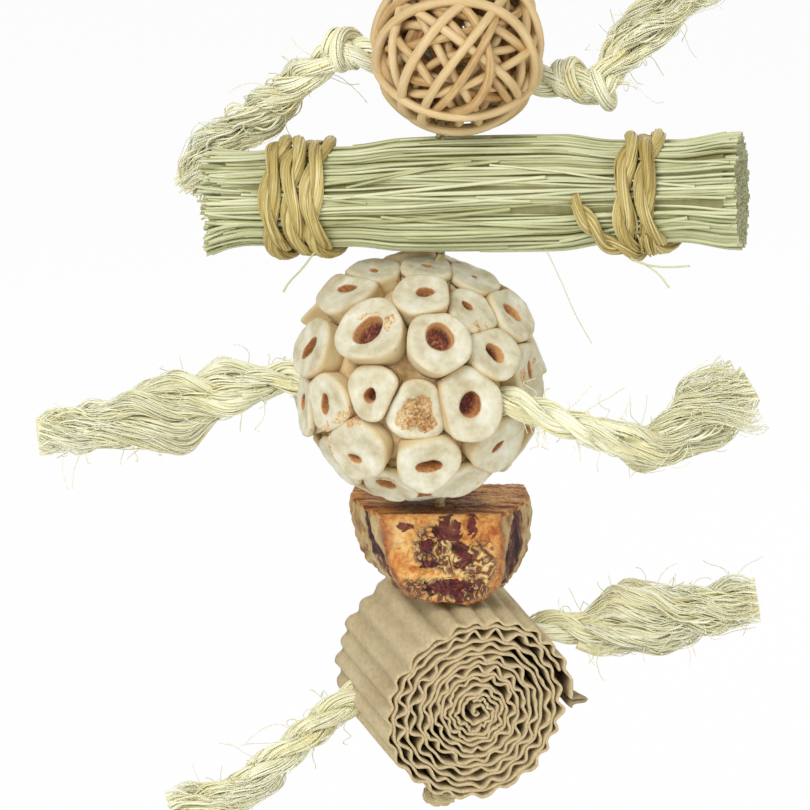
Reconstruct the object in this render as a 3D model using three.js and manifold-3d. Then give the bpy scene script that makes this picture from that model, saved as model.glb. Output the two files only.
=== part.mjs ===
// A hanging chew tower for birds: five chews on one cord, three of them with a sisal rope through.
// Millimetres, +Z up, seen from -Y. The origin is the top of the hanging loop.
import * as THREE from 'three';
import { mergeVertices } from 'three/addons/utils/BufferGeometryUtils.js';
import Module from 'manifold-3d';

// Clearances
const touchGap = 0.3;
const stackGap = 0.8;
const knotGap = 0.6;

// Core cord, hanging loop and knots
const cordRadius = 1.5;
const cordBoreRadius = 1.9;
const loopHeight = 34;
const loopHalfWidth = 7.5;
const topKnotRadius = 5.5;
const topKnotHeight = 7;
const throatRadius = 2.4;
const bottomKnotRadius = 5;
const bottomKnotHeight = 4.4;

// Sisal rope
const ropeRadius = 4.8;
const ropeBoreRadius = 5.2;

// Rattan ball
const rattanRadius = 25;
const rattanOffset = 5;
const caneRadius = 1.5;
const caneShells = 3;
const hoopsInShell = 3;
const hoopSteps = 20;
const caneSides = 4;
const rattanRopeBehind = 7.1;
const rattanKnotSize = [5.6, 6.4, 7.6];
const rattanKnotLumps = { left: 1, right: 2 };

// Grass sheaf and its two bands
const sheafRadius = 15.7;
const sheafLeft = 66.5;
const sheafRight = 84.4;
const sheafLeftRadius = 13.6;
const sheafRightRadius = 16.4;
const sheafYaw = 8.5;
const sheafTilt = 3;
const stalkRidges = 24;
const ridgeDepth = 0.9;
const leftRaggedness = 2.5;
const shoulder = 4;
const bandProud = 0.6;
const bandThickness = 4.2;
const bandWidth = 7;
const bandPitch = 7.5;
const bandSteps = 24;
const bandFromEnd = { left: 28.6, right: 26.5 };
const bands = {
  left: { middle: bandFromEnd.left - sheafLeft, turns: 3 },
  right: { middle: sheafRight - bandFromEnd.right, turns: 2 },
};
const bandKnotSize = [4.4, 3.4, 5.6];
const bandKnotFace = 212;

// Sola ball
const solaRadius = 35.6;
const solaOffset = -6;
const stickProud = 6.6;
const solaRopeProud = 1.9;
const stickRadius = 8.3;
const stickGap = 0.4;
const stickSides = 7;
const pithRadius = 2.6;
const pithDepth = 3;
const viewTilt = 15;
const fillSpacing = 27;
const fillTries = 300;

// Wood chunk
const woodHeight = 25.7;
const woodTopWidth = 50;
const woodFrontWidth = 32;
const woodFront = 9;
const woodBack = 23;

// Cardboard roll
const rollRadius = 27.8;
const rollLength = 45;
const rollYaw = 18.5;
const rollTilt = 6;
const rollOffset = [3.4, 4];
const rollTurns = 6;
const rollEyeRadius = 3.2;
const linerThickness = 0.6;
const flutedThickness = 0.6;
const rollGap = 0.45;
const rollRopeProud = { left: 1.2, right: 1.8 };
const flutePitch = 7;
const largestFluteTurn = 40;
const linerStep = 22.5;

const rad = THREE.MathUtils.degToRad;
const point = (x, y, z) => new THREE.Vector3(x, y, z);
const upright = point(0, 0, 1);

const colours = {
  cord: 0xcdbf97,
  rope: 0xe9dfba,
  cane: 0xdab27c,
  stalk: 0xc8cc9c,
  band: 0xb8954f,
  sola: 0xf2ead2,
  pith: 0xd9b27a,
  wood: 0x9c5c33,
  cardboard: 0xb99a6e,
};
const materials = Object.fromEntries(Object.entries(colours).map(([name, color]) => [
  name,
  new THREE.MeshStandardMaterial({ color, roughness: 0.85, metalness: 0 }),
]));

// Joining and cutting
const wasm = await Module();
wasm.setup();

function toSolid(geometry) {
  const bare = new THREE.BufferGeometry();
  bare.setAttribute('position', geometry.getAttribute('position').clone());
  bare.setIndex(geometry.getIndex());
  const merged = mergeVertices(bare, 1e-4);
  return new wasm.Manifold(new wasm.Mesh({
    numProp: 3,
    vertProperties: new Float32Array(merged.getAttribute('position').array),
    triVerts: new Uint32Array(merged.getIndex().array),
  }));
}

function toGeometry(solid) {
  const mesh = solid.getMesh();
  const geometry = new THREE.BufferGeometry();
  geometry.setAttribute('position', new THREE.BufferAttribute(new Float32Array(mesh.vertProperties), 3));
  geometry.setIndex(Array.from(mesh.triVerts));
  geometry.computeVertexNormals();
  return geometry;
}

function join(geometries) {
  return toGeometry(geometries.map(toSolid).reduce((whole, next) => whole.add(next)));
}

function cut(geometry, cutters) {
  return toGeometry(cutters.map(toSolid).reduce((rest, cutter) => rest.subtract(cutter), toSolid(geometry)));
}

// A closed skin over rings of points, with a fan over the first and the last ring.
function loft(rings) {
  const sides = rings[0].length;
  const points = rings.flat();
  const centreOf = (ring) => ring.reduce((sum, p) => sum.add(p), point(0, 0, 0)).divideScalar(sides);
  points.push(centreOf(rings[0]), centreOf(rings.at(-1)));
  const first = points.length - 2;
  const last = points.length - 1;
  const top = (rings.length - 1) * sides;
  const index = [];
  for (let side = 0; side < sides; side += 1) {
    const next = (side + 1) % sides;
    for (let ring = 0; ring < rings.length - 1; ring += 1) {
      const low = ring * sides;
      const high = low + sides;
      index.push(low + side, low + next, high + next, low + side, high + next, high + side);
    }
    index.push(first, next, side, last, top + side, top + next);
  }
  const geometry = new THREE.BufferGeometry().setFromPoints(points);
  geometry.setIndex(index);
  geometry.computeVertexNormals();
  return geometry;
}

function roundSection(radius, sides) {
  return new THREE.Shape(Array.from({ length: sides }, (_, side) => {
    const angle = (side / sides) * 2 * Math.PI;
    return new THREE.Vector2(radius * Math.cos(angle), radius * Math.sin(angle));
  }));
}

function tube(curve, radius, sides, steps) {
  const section = roundSection(radius, sides);
  return new THREE.ExtrudeGeometry(section, { steps, bevelEnabled: false, extrudePath: curve });
}

function rod(from, to, radius, sides = 10) {
  return tube(new THREE.LineCurve3(from, to), radius, sides, 1);
}

// A many-sided cutter that a round rod of the stated radius passes through.
function bore(from, to, radius, sides) {
  return rod(from, to, radius / Math.cos(Math.PI / sides), sides);
}

function lump(size, centre, sides = 10) {
  return new THREE.SphereGeometry(1, sides, 6).scale(...size).translate(centre.x, centre.y, centre.z);
}

// A rope tail that swells and thins where it is frayed: route points from its start, and the half width at each.
function frayedTail(start, { route, widths }, sides = 8, steps = 12) {
  const curve = new THREE.CatmullRomCurve3(route.map((step) => point(...step).add(start)));
  const frames = curve.computeFrenetFrames(steps, false);
  const rings = frames.tangents.map((_, step) => {
    const along = step / steps;
    const centre = curve.getPointAt(along);
    const place = along * (widths.length - 1);
    const low = Math.min(Math.floor(place), widths.length - 2);
    const radius = THREE.MathUtils.lerp(widths[low], widths[low + 1], place - low);
    return Array.from({ length: sides }, (_, side) => {
      const angle = (side / sides) * 2 * Math.PI;
      return centre.clone()
        .addScaledVector(frames.normals[step], radius * Math.cos(angle))
        .addScaledVector(frames.binormals[step], radius * Math.sin(angle));
    });
  });
  return loft(rings);
}

// What a tail keeps clear of: the rope's run through its chew, and a gap at each end of it.
function runRoom(run) {
  const share = touchGap / run.distance();
  const ends = [-share, 1 + share].map((place) => run.at(place, point(0, 0, 0)));
  return rod(...ends, ropeRadius * 2);
}

function add(group, name, geometry, material) {
  const mesh = new THREE.Mesh(geometry, material);
  mesh.name = name;
  group.add(mesh);
  return mesh;
}

// Depth of a round bar's axis under a ball that stands off the cord, or of a ball under the bar.
function dropBetween(offset, barDirection, slope, reach) {
  const along = offset * barDirection.x;
  const lean = along * slope;
  const spread = 1 - slope ** 2;
  return (lean + Math.sqrt(lean ** 2 - spread * (offset ** 2 - along ** 2 - reach ** 2))) / spread;
}

// Heights of the stack, from the loop down
const loopFoot = -loopHeight;
const topKnotMiddle = loopFoot - knotGap - topKnotHeight / 2;
const topKnotFoot = topKnotMiddle - topKnotHeight / 2;
const swingMiddle = topKnotFoot - knotGap;
const rattanMiddle = swingMiddle - stackGap - rattanRadius;
const sheafDirection = point(1, 0, 0).applyEuler(new THREE.Euler(0, rad(-sheafTilt), rad(-sheafYaw), 'ZYX'));
const sheafMiddle = rattanMiddle
  - dropBetween(rattanOffset, sheafDirection, sheafDirection.z, rattanRadius + stackGap + sheafRadius);
const solaMiddle = sheafMiddle
  - dropBetween(solaOffset, sheafDirection, -sheafDirection.z, sheafRadius + stackGap + solaRadius);
const woodTop = solaMiddle - solaRadius - stackGap;
const woodFoot = woodTop - woodHeight;
const rollTop = woodFoot - stackGap;
const sheetPitch = (rollRadius - rollEyeRadius + rollGap) / rollTurns;
const rollReach = (rollRadius - sheetPitch / 4) / Math.cos(rad(rollTilt));
const rollDip = rollOffset[1] * Math.tan(rad(rollTilt));
const rollMiddle = rollTop - rollReach + rollDip;
const rollFoot = rollMiddle - rollDip - rollRadius / Math.cos(rad(rollTilt));
const bottomKnotMiddle = rollFoot - stackGap - bottomKnotHeight / 2;

// Ends of the cord's lengths: under the top knot, in each gap, and over the bottom knot
const cordEnds = [
  swingMiddle + touchGap / 2,
  rattanMiddle - rattanRadius - stackGap / 2,
  solaMiddle + solaRadius + stackGap / 2,
  woodTop + stackGap / 2,
  rollTop + stackGap / 2,
  bottomKnotMiddle + bottomKnotHeight / 2 + touchGap,
];

const tower = new THREE.Group();
const cordHole = (group) => {
  group.updateMatrixWorld(true);
  const hole = bore(point(0, 0, 0), point(0, 0, bottomKnotMiddle * 2), cordBoreRadius, 6);
  return hole.applyMatrix4(group.matrixWorld.clone().invert());
};

// Hanging loop, knots and core cord
const loopLegs = cordRadius + touchGap;
const loopPath = new THREE.CatmullRomCurve3([
  point(-loopLegs, 0, loopFoot),
  point(-loopHalfWidth * 0.7, 0, loopFoot * 0.7),
  point(-loopHalfWidth, 0, loopFoot * 0.36),
  point(0, 0, -cordRadius),
  point(loopHalfWidth, 0, loopFoot * 0.36),
  point(loopHalfWidth * 0.7, 0, loopFoot * 0.7),
  point(loopLegs, 0, loopFoot),
]);
const throat = (height, radius) => lump([radius, radius, radius], point(0, 0, height));
const swings = [loopFoot, swingMiddle];
const topKnot = lump([topKnotRadius, topKnotRadius, topKnotHeight / 2], point(0, 0, topKnotMiddle));
const knotSockets = swings.map((height) => throat(height, throatRadius + touchGap));
const loop = join([tube(loopPath, cordRadius, 8, 20), throat(loopFoot, throatRadius)]);
add(tower, 'hanging_loop', loop, materials.cord);
add(tower, 'top_knot', cut(topKnot, knotSockets), materials.cord);
add(
  tower,
  'bottom_knot',
  lump([bottomKnotRadius, bottomKnotRadius, bottomKnotHeight / 2], point(0, 0, bottomKnotMiddle)),
  materials.cord,
);
for (let length = 1; length < cordEnds.length; length += 1) {
  const high = cordEnds[length - 1] - touchGap / 2;
  const low = cordEnds[length] + touchGap / 2;
  const straight = rod(point(0, 0, high), point(0, 0, low), cordRadius);
  const cord = length === 1 ? join([straight, throat(swingMiddle, throatRadius)]) : straight;
  add(tower, `core_cord_${length}`, cord, materials.cord);
}

// Rattan ball: shells of cane hoops, each shell inside the last
const rattan = new THREE.Group();
rattan.position.set(rattanOffset, 0, rattanMiddle);
tower.add(rattan);
const rattanKnotReach = rattanRadius + knotGap + rattanKnotSize[0];
const rattanRope = {
  left: point(-rattanKnotReach, rattanRopeBehind, -rattanRadius * 0.14),
  right: point(rattanKnotReach, rattanRopeBehind, -rattanRadius * 0.476),
};
const shellNames = ['cane_shell_outer', 'cane_shell_middle', 'cane_shell_inner'];
const hoopCount = caneShells * hoopsInShell;
const goldenTurn = Math.PI * (3 - Math.sqrt(5));
for (let shell = 0; shell < caneShells; shell += 1) {
  const hoopRadius = rattanRadius - caneRadius - shell * (2 * caneRadius + touchGap);
  const hoops = Array.from({ length: hoopsInShell }, (_, place) => {
    const hoop = place * caneShells + shell;
    const rise = (hoop + 0.5) / hoopCount;
    const turn = hoop * goldenTurn;
    const flat = Math.sqrt(1 - rise ** 2);
    const normal = point(flat * Math.cos(turn), flat * Math.sin(turn), rise);
    const turned = new THREE.Quaternion().setFromUnitVectors(upright, normal);
    return new THREE.TorusGeometry(hoopRadius, caneRadius, caneSides, hoopSteps).applyQuaternion(turned);
  });
  const ropeHole = bore(rattanRope.left, rattanRope.right, ropeBoreRadius, 8);
  add(rattan, shellNames[shell], cut(join(hoops), [cordHole(rattan), ropeHole]), materials.cane);
}

// Rattan ball's rope: through the ball behind the cord, knotted on both sides, frayed beyond the knots
function knotLumps(side) {
  const out = side === 'left' ? -1 : 1;
  return Array.from({ length: rattanKnotLumps[side] }, (_, place) => {
    const shift = point(out * place * rattanKnotSize[0] * 1.45, 0, -place * rattanKnotSize[2] * 0.2);
    return rattanRope[side].clone().add(shift);
  });
}

function rattanKnot(side, grown) {
  const size = rattanKnotSize.map((half) => half + grown);
  return join(knotLumps(side).map((centre) => lump(size, centre)));
}

// Each tail's route is measured from where it starts
const rattanTails = {
  left: {
    route: [[0, 0, 0], [-8.8, 3, -5.5], [-18.8, 13, -17], [-28.8, 23, -27.5], [-36.8, 29, -36], [-43.8, 33, -46.5]],
    widths: [3.6, 4.4, 5, 5.4, 6, 5.4],
  },
  right: {
    route: [[0, 0, 0], [2.2, -0.5, 5.6], [9, -2.1, 14.9], [17.9, -4.1, 24.4], [24.2, -6.1, 32.1], [30.7, -8.1, 39.6]],
    widths: [3.6, 4.2, 5.6, 6.8, 7.4, 6],
  },
};
const knotRoom = Object.keys(rattanTails).map((side) => rattanKnot(side, touchGap));
const rattanRopeRod = rod(rattanRope.left, rattanRope.right, ropeRadius);
add(rattan, 'rattan_rope_core', cut(rattanRopeRod, knotRoom), materials.rope);
for (const [side, tail] of Object.entries(rattanTails)) {
  add(rattan, `rattan_knot_${side}`, rattanKnot(side, 0), materials.rope);
  const geometry = frayedTail(knotLumps(side).at(-1), tail);
  add(rattan, `rattan_tail_${side}`, cut(geometry, knotRoom), materials.rope);
}

// Grass sheaf: local X runs along the stalks
const sheaf = new THREE.Group();
sheaf.position.set(0, 0, sheafMiddle);
sheaf.rotation.set(0, rad(-sheafTilt), rad(-sheafYaw), 'ZYX');
tower.add(sheaf);
const waistRadius = sheafRadius + bandProud - bandThickness - touchGap;
const bandHalf = (band) => (band.turns * bandPitch) / 2 + bandWidth / 4;
const stalkRing = (along, radius, ragged = 0) => Array.from({ length: stalkRidges * 2 }, (_, place) => {
  const angle = (place / (stalkRidges * 2)) * 2 * Math.PI;
  const reach = radius - (place % 2 ? ridgeDepth : 0);
  const end = along + ragged * Math.sin(Math.floor(place / 2) * 2.4);
  return point(end, reach * Math.cos(angle), reach * Math.sin(angle));
});
const sheafRings = [stalkRing(-sheafLeft + leftRaggedness, sheafLeftRadius, leftRaggedness)];
for (const band of [bands.left, bands.right]) {
  sheafRings.push(
    stalkRing(band.middle - bandHalf(band) - shoulder, sheafRadius),
    stalkRing(band.middle - bandHalf(band), waistRadius),
    stalkRing(band.middle + bandHalf(band), waistRadius),
    stalkRing(band.middle + bandHalf(band) + shoulder, sheafRadius),
  );
}
sheafRings.push(stalkRing(sheafRight, sheafRightRadius));
add(sheaf, 'grass_sheaf', cut(loft(sheafRings), [cordHole(sheaf)]), materials.stalk);

// A band of twisted grass rope: one unbroken flat-sided tube wound round the sheaf
function windBand(band) {
  const middle = waistRadius + touchGap + bandThickness / 2;
  const steps = band.turns * bandSteps;
  const frame = (angle, run = 0) => {
    const out = point(0, Math.cos(angle), Math.sin(angle));
    const round = point(0, -Math.sin(angle), Math.cos(angle));
    const along = band.middle + ((angle / (2 * Math.PI)) - band.turns / 2) * bandPitch;
    return { out, centre: point(along, 0, 0).addScaledVector(out, middle).addScaledVector(round, run) };
  };
  const stations = Array.from({ length: steps + 1 }, (_, step) => frame((step / bandSteps) * 2 * Math.PI));
  stations.unshift(frame(0, -bandWidth));
  stations.push(frame(band.turns * 2 * Math.PI, bandWidth));
  const rings = stations.map(({ out, centre }) => Array.from({ length: 6 }, (_, side) => {
    const angle = (side / 6) * 2 * Math.PI;
    return centre.clone()
      .addScaledVector(out, (bandThickness / 2) * Math.sin(angle))
      .add(point((bandWidth / 2) * Math.cos(angle), 0, 0));
  }));
  return { geometry: loft(rings), rings };
}

function leastGap(rings) {
  let least = Infinity;
  rings.forEach((ring, place) => {
    rings.slice(place + Math.round(bandSteps / 2)).flat().forEach((far) => {
      ring.forEach((near) => {
        least = Math.min(least, near.distanceTo(far));
      });
    });
  });
  return least;
}

for (const [side, band] of Object.entries(bands)) {
  const winding = windBand(band);
  console.log(`${side} band: least gap to itself ${leastGap(winding.rings).toFixed(2)} mm`);
  add(sheaf, `${side}_band`, winding.geometry, materials.band);
}
const bandKnotAngle = rad(bandKnotFace);
const bandKnotReach = sheafRadius + touchGap + bandKnotSize[1];
const bandKnotPlace = bands.right.middle - bandHalf(bands.right) - shoulder - bandKnotSize[0];
add(
  sheaf,
  'right_band_knot',
  lump(bandKnotSize, point(0, 0, 0)).rotateX(bandKnotAngle - Math.PI).translate(
    bandKnotPlace,
    bandKnotReach * Math.cos(bandKnotAngle),
    bandKnotReach * Math.sin(bandKnotAngle),
  ),
  materials.band,
);

// Sola ball: hollow sticks standing on a core ball
const sola = new THREE.Group();
sola.position.set(solaOffset, 0, solaMiddle);
tower.add(sola);
const solaCoreRadius = solaRadius - stickProud;
const solaRope = {
  left: point(-1, 0, 0).setLength(solaRadius + solaRopeProud),
  right: point(0.736, -0.677, -0.016).setLength(solaRadius + solaRopeProud),
};
const solaRopeRun = new THREE.Line3(solaRope.left, solaRope.right);
const solaRopeReach = [-0.2, 1.2].map((share) => solaRopeRun.at(share, point(0, 0, 0)));
const solaHoles = [cordHole(sola), bore(...solaRopeReach, ropeBoreRadius, 8)];

// Where the front sticks' ends stand as seen from a little above, across and up, as shares of the ball's radius
const frontSticks = [
  [-0.38, 0.88], [0.08, 0.92], [0.46, 0.83], [-0.57, 0.71], [0.03, 0.64], [0.44, 0.55], [0.75, 0.52],
  [-0.85, 0.23], [-0.37, 0.36], [0.16, 0.27], [0.6, 0.2], [0.91, 0.04], [-0.75, -0.21], [-0.38, -0.12],
  [-0.02, -0.35], [0.39, -0.21], [-0.5, -0.58], [0.08, -0.69], [0.65, -0.55], [-0.24, -0.9], [0.35, -0.87],
];
const viewUp = upright.clone().applyAxisAngle(point(1, 0, 0), rad(-viewTilt));
const viewOut = point(0, -1, 0).applyAxisAngle(point(1, 0, 0), rad(-viewTilt));
const stickWays = frontSticks.map(([across, up]) => point(across, 0, 0)
  .addScaledVector(viewUp, up)
  .addScaledVector(viewOut, Math.sqrt(Math.max(0, 1 - across ** 2 - up ** 2)))
  .normalize());
const cordWays = [1, -1].map((way) => point(-solaOffset, 0, way * solaRadius).normalize());
const ropeWays = Object.values(solaRope).map((end) => end.clone().normalize());
const keepOut = cordWays.concat(ropeWays);
for (let attempt = 0; attempt < fillTries; attempt += 1) {
  const rise = 1 - (2 * (attempt + 0.5)) / fillTries;
  const flat = Math.sqrt(1 - rise ** 2);
  const way = point(flat * Math.cos(attempt * goldenTurn), flat * Math.sin(attempt * goldenTurn), rise);
  const clearOf = (other) => way.angleTo(other) > rad(fillSpacing);
  if (stickWays.every(clearOf) && keepOut.every((hole) => way.angleTo(hole) > rad(fillSpacing * 0.6))) {
    stickWays.push(way);
  }
}

function stick(way, foot) {
  const nearest = Math.min(...stickWays.filter((other) => other !== way).map((other) => way.angleTo(other)));
  const outer = Math.min(stickRadius, solaRadius * Math.sin(nearest / 2) - stickGap / 2);
  const face = Math.sqrt(solaRadius ** 2 - outer ** 2);
  const inner = (outer * foot) / face;
  const pith = Math.min(pithRadius, outer * 0.45);
  const profile = [
    [0, foot], [inner, foot], [outer, face], [pith, face], [pith, face - pithDepth], [0, face - pithDepth],
  ].map(([across, along]) => new THREE.Vector2(across, along));
  const turned = new THREE.Quaternion().setFromUnitVectors(point(0, 1, 0), way);
  return new THREE.LatheGeometry(profile, stickSides).applyQuaternion(turned);
}

const coreBall = new THREE.IcosahedronGeometry(solaCoreRadius, 3);
const backSticks = stickWays.slice(frontSticks.length).map((way) => stick(way, solaCoreRadius - pithDepth));
add(sola, 'sola_core', cut(join([coreBall, ...backSticks]), solaHoles), materials.pith);
stickWays.slice(0, frontSticks.length).forEach((way, place) => {
  const name = `sola_stick_${String(place + 1).padStart(2, '0')}`;
  add(sola, name, cut(stick(way, solaCoreRadius + touchGap), solaHoles), materials.sola);
});

add(sola, 'sola_rope_core', rod(solaRope.left, solaRope.right, ropeRadius), materials.rope);
const solaTails = {
  left: {
    route: [[1.5, 0, 0], [-10.5, -1, -2], [-23.5, -2, -6], [-36.5, -4, -9], [-52.5, -6, -12.5], [-68, -8, -13.5]],
    widths: [5, 7.5, 9.6, 9, 6.2, 4],
  },
  right: {
    route: [
      [-1.6, 0.8, 0.1], [8.4, -2.6, -2.9], [19.4, -4.6, -6.4], [29.9, -5.6, -9.8], [38.4, -5.6, -10.4],
      [46.4, -4.6, -5.4], [54.4, -3.6, 0.6], [63.9, -2.6, 6.1],
    ],
    widths: [4.4, 4.6, 5, 6, 7, 8, 9.6, 12],
  },
};
for (const [side, tail] of Object.entries(solaTails)) {
  const geometry = cut(frayedTail(solaRope[side], tail), [runRoom(solaRopeRun)]);
  add(sola, `sola_tail_${side}`, geometry, materials.rope);
}

// Wood chunk: wide at the back, a flat facet in front, and a keel below
const wood = new THREE.Group();
wood.position.set(0, 0, woodTop);
tower.add(wood);
const woodSection = ({ along, lean, half, depth, keel }) => Array.from({ length: 13 }, (_, place) => {
  const angle = Math.PI * (place / 12);
  const across = half * Math.sign(Math.cos(angle)) * Math.abs(Math.cos(angle)) ** 0.6;
  const down = Math.sin(angle) ** 0.6;
  return point(across + keel * down, along - lean * down, -depth * down);
});
const woodRings = [
  { along: -woodFront, lean: 4, half: woodFrontWidth / 2, depth: woodHeight * 0.97, keel: 3 },
  { along: 0, lean: 1, half: woodTopWidth * 0.43, depth: woodHeight, keel: 3 },
  { along: woodBack * 0.5, lean: 3, half: woodTopWidth / 2, depth: woodHeight * 0.92, keel: 2 },
  { along: woodBack, lean: 6, half: woodTopWidth * 0.47, depth: woodHeight * 0.78, keel: 1 },
].map(woodSection);
add(wood, 'wood_chunk', cut(loft(woodRings), [cordHole(wood)]), materials.wood);

// Cardboard roll: local Z runs along its axis, towards the front face
const roll = new THREE.Group();
roll.position.set(rollOffset[0], rollOffset[1], rollMiddle);
const rollAxis = point(
  Math.sin(rad(rollYaw)) * Math.cos(rad(rollTilt)),
  -Math.cos(rad(rollYaw)) * Math.cos(rad(rollTilt)),
  -Math.sin(rad(rollTilt)),
);
roll.quaternion.setFromUnitVectors(upright, rollAxis);
tower.add(roll);
const waveHeight = sheetPitch - linerThickness - flutedThickness - 2 * rollGap;
const linerAt = (turn) => rollEyeRadius + linerThickness / 2 + (sheetPitch * turn) / (2 * Math.PI);
const lastTurn = (rollTurns - 1) * 2 * Math.PI;

function sheetAlong(turns, reachAt, thickness) {
  const side = (shift) => turns.map((turn, place) => {
    const reach = reachAt(turn, place) + shift;
    return new THREE.Vector2(reach * Math.cos(turn), -reach * Math.sin(turn));
  });
  const outline = new THREE.Shape(side(thickness / 2).concat(side(-thickness / 2).reverse()));
  const sheet = new THREE.ExtrudeGeometry(outline, { depth: rollLength, bevelEnabled: false, steps: 1 });
  return sheet.translate(0, 0, -rollLength / 2);
}

const linerTurns = [];
for (let turn = 0; turn <= lastTurn; turn += rad(linerStep)) {
  linerTurns.push(turn);
}
const fluteTurns = [];
for (let turn = 0; turn <= lastTurn; turn += Math.min(rad(largestFluteTurn), flutePitch / linerAt(turn)) / 2) {
  fluteTurns.push(turn);
}
const fluteBase = linerThickness / 2 + rollGap + flutedThickness / 2;
const liner = sheetAlong(linerTurns, linerAt, linerThickness);
const fluted = sheetAlong(
  fluteTurns,
  (turn, place) => linerAt(turn) + fluteBase + (place % 2 ? waveHeight : 0),
  flutedThickness,
);

// Roll's rope, behind the cord, placed in the tower's frame
const rollRope = {
  left: point(rollOffset[0] - rollRadius - rollRopeProud.left, 7.4, rollMiddle - rollRadius * 0.2),
  right: point(rollOffset[0] + rollRadius + rollRopeProud.right, 11, rollMiddle + rollRadius * 0.54),
};
const toRoll = (geometry) => {
  roll.updateMatrixWorld(true);
  return geometry.applyMatrix4(roll.matrixWorld.clone().invert());
};
const rollRopeRun = new THREE.Line3(rollRope.left, rollRope.right);
const rollRopeReach = [-0.3, 1.3].map((share) => rollRopeRun.at(share, point(0, 0, 0)));
const rollHoles = [cordHole(roll), toRoll(bore(...rollRopeReach, ropeBoreRadius, 6))];
add(roll, 'roll_liner', cut(liner, rollHoles), materials.cardboard);
add(roll, 'roll_fluted_sheet', cut(fluted, rollHoles), materials.cardboard);
add(tower, 'roll_rope_core', rod(rollRope.left, rollRope.right, ropeRadius), materials.rope);
const rollTails = {
  left: {
    route: [
      [1.4, 0, 0.4], [-7.6, -1.4, -6.4], [-14.6, -2.9, -12.4], [-22.6, -4.4, -18.9], [-30.6, -6.4, -24.9],
      [-39.6, -8.4, -28.4], [-49.6, -10.4, -30.9],
    ],
    widths: [4.6, 4.8, 4.8, 4.9, 5.4, 6.2, 5.6],
  },
  right: {
    route: [
      [-1, 0, -0.4], [7, 0.4, -1.6], [15, 0.8, -0.8], [26, 1, 1.6], [36.5, 1, 3.6], [47, 1, 6.1], [56, 1, 7.6],
    ],
    widths: [4.4, 7.2, 9.4, 10, 8.8, 7, 5],
  },
};
for (const [side, tail] of Object.entries(rollTails)) {
  const geometry = cut(frayedTail(rollRope[side], tail), [runRoom(rollRopeRun)]);
  add(tower, `roll_tail_${side}`, geometry, materials.rope);
}

export default tower;
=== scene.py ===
import math

import bmesh
import bpy
import numpy as np
from mathutils import Matrix, Vector, kdtree, noise


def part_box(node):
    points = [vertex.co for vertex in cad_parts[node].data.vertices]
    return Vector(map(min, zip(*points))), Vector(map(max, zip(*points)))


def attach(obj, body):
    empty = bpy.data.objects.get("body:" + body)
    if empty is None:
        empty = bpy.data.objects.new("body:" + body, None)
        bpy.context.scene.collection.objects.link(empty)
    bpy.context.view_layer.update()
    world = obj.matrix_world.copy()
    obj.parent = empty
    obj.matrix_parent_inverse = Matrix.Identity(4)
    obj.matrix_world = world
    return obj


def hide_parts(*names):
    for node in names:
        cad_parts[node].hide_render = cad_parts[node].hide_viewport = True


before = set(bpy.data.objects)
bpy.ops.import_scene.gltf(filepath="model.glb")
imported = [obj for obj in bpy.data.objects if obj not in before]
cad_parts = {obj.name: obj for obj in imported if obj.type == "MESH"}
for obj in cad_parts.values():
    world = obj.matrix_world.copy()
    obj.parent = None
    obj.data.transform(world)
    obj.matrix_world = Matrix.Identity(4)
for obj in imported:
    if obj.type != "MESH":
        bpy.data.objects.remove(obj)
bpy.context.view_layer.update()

# Lengths below are in millimetres, in the frame's own axes. They become metres when a mesh is made.
mm = 0.001
fullTurn = 2 * math.pi
goldenTurn = math.pi * (3 - math.sqrt(5))
anyAngle = 6.28  # random angles are drawn from 0 up to this

# Places that several chews share
tower = {
    "rattan": np.array([5.0, 0.0, -68.0]),
    "sheaf": np.array([0.0, 0.0, -109.81]),
    "sola": np.array([-6.0, 0.0, -162.28]),
    "woodTop": -198.68,
    "roll": np.array([3.4, 4.0, -251.67]),
}
ropeRadius = 4.8


def tone(red, green, blue):
    # A colour as seen on a screen, 0 to 255, made linear. All colours below are given as seen.
    def linear(value):
        share = value / 255
        return share / 12.92 if share <= 0.04045 else ((share + 0.055) / 1.055) ** 2.4

    return linear(red), linear(green), linear(blue)


class Wire:
    # One socket of a material, with the operators that the paints below use

    def __init__(self, paint, socket):
        self.paint = paint
        self.socket = socket

    def maths(self, operation, first, second=0.0):
        return self.paint.node("ShaderNodeMath", {"operation": operation}, {0: first, 1: second})

    def __add__(self, other):
        return self.maths("ADD", self, other)

    def __sub__(self, other):
        return self.maths("SUBTRACT", self, other)

    def __rsub__(self, other):
        return self.maths("SUBTRACT", other, self)

    def __mul__(self, other):
        return self.maths("MULTIPLY", self, other)

    def __truediv__(self, other):
        return self.maths("DIVIDE", self, other)

    def __abs__(self):
        return self.maths("ABSOLUTE", self)

    def most(self, other):
        return self.maths("MAXIMUM", self, other)


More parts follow.
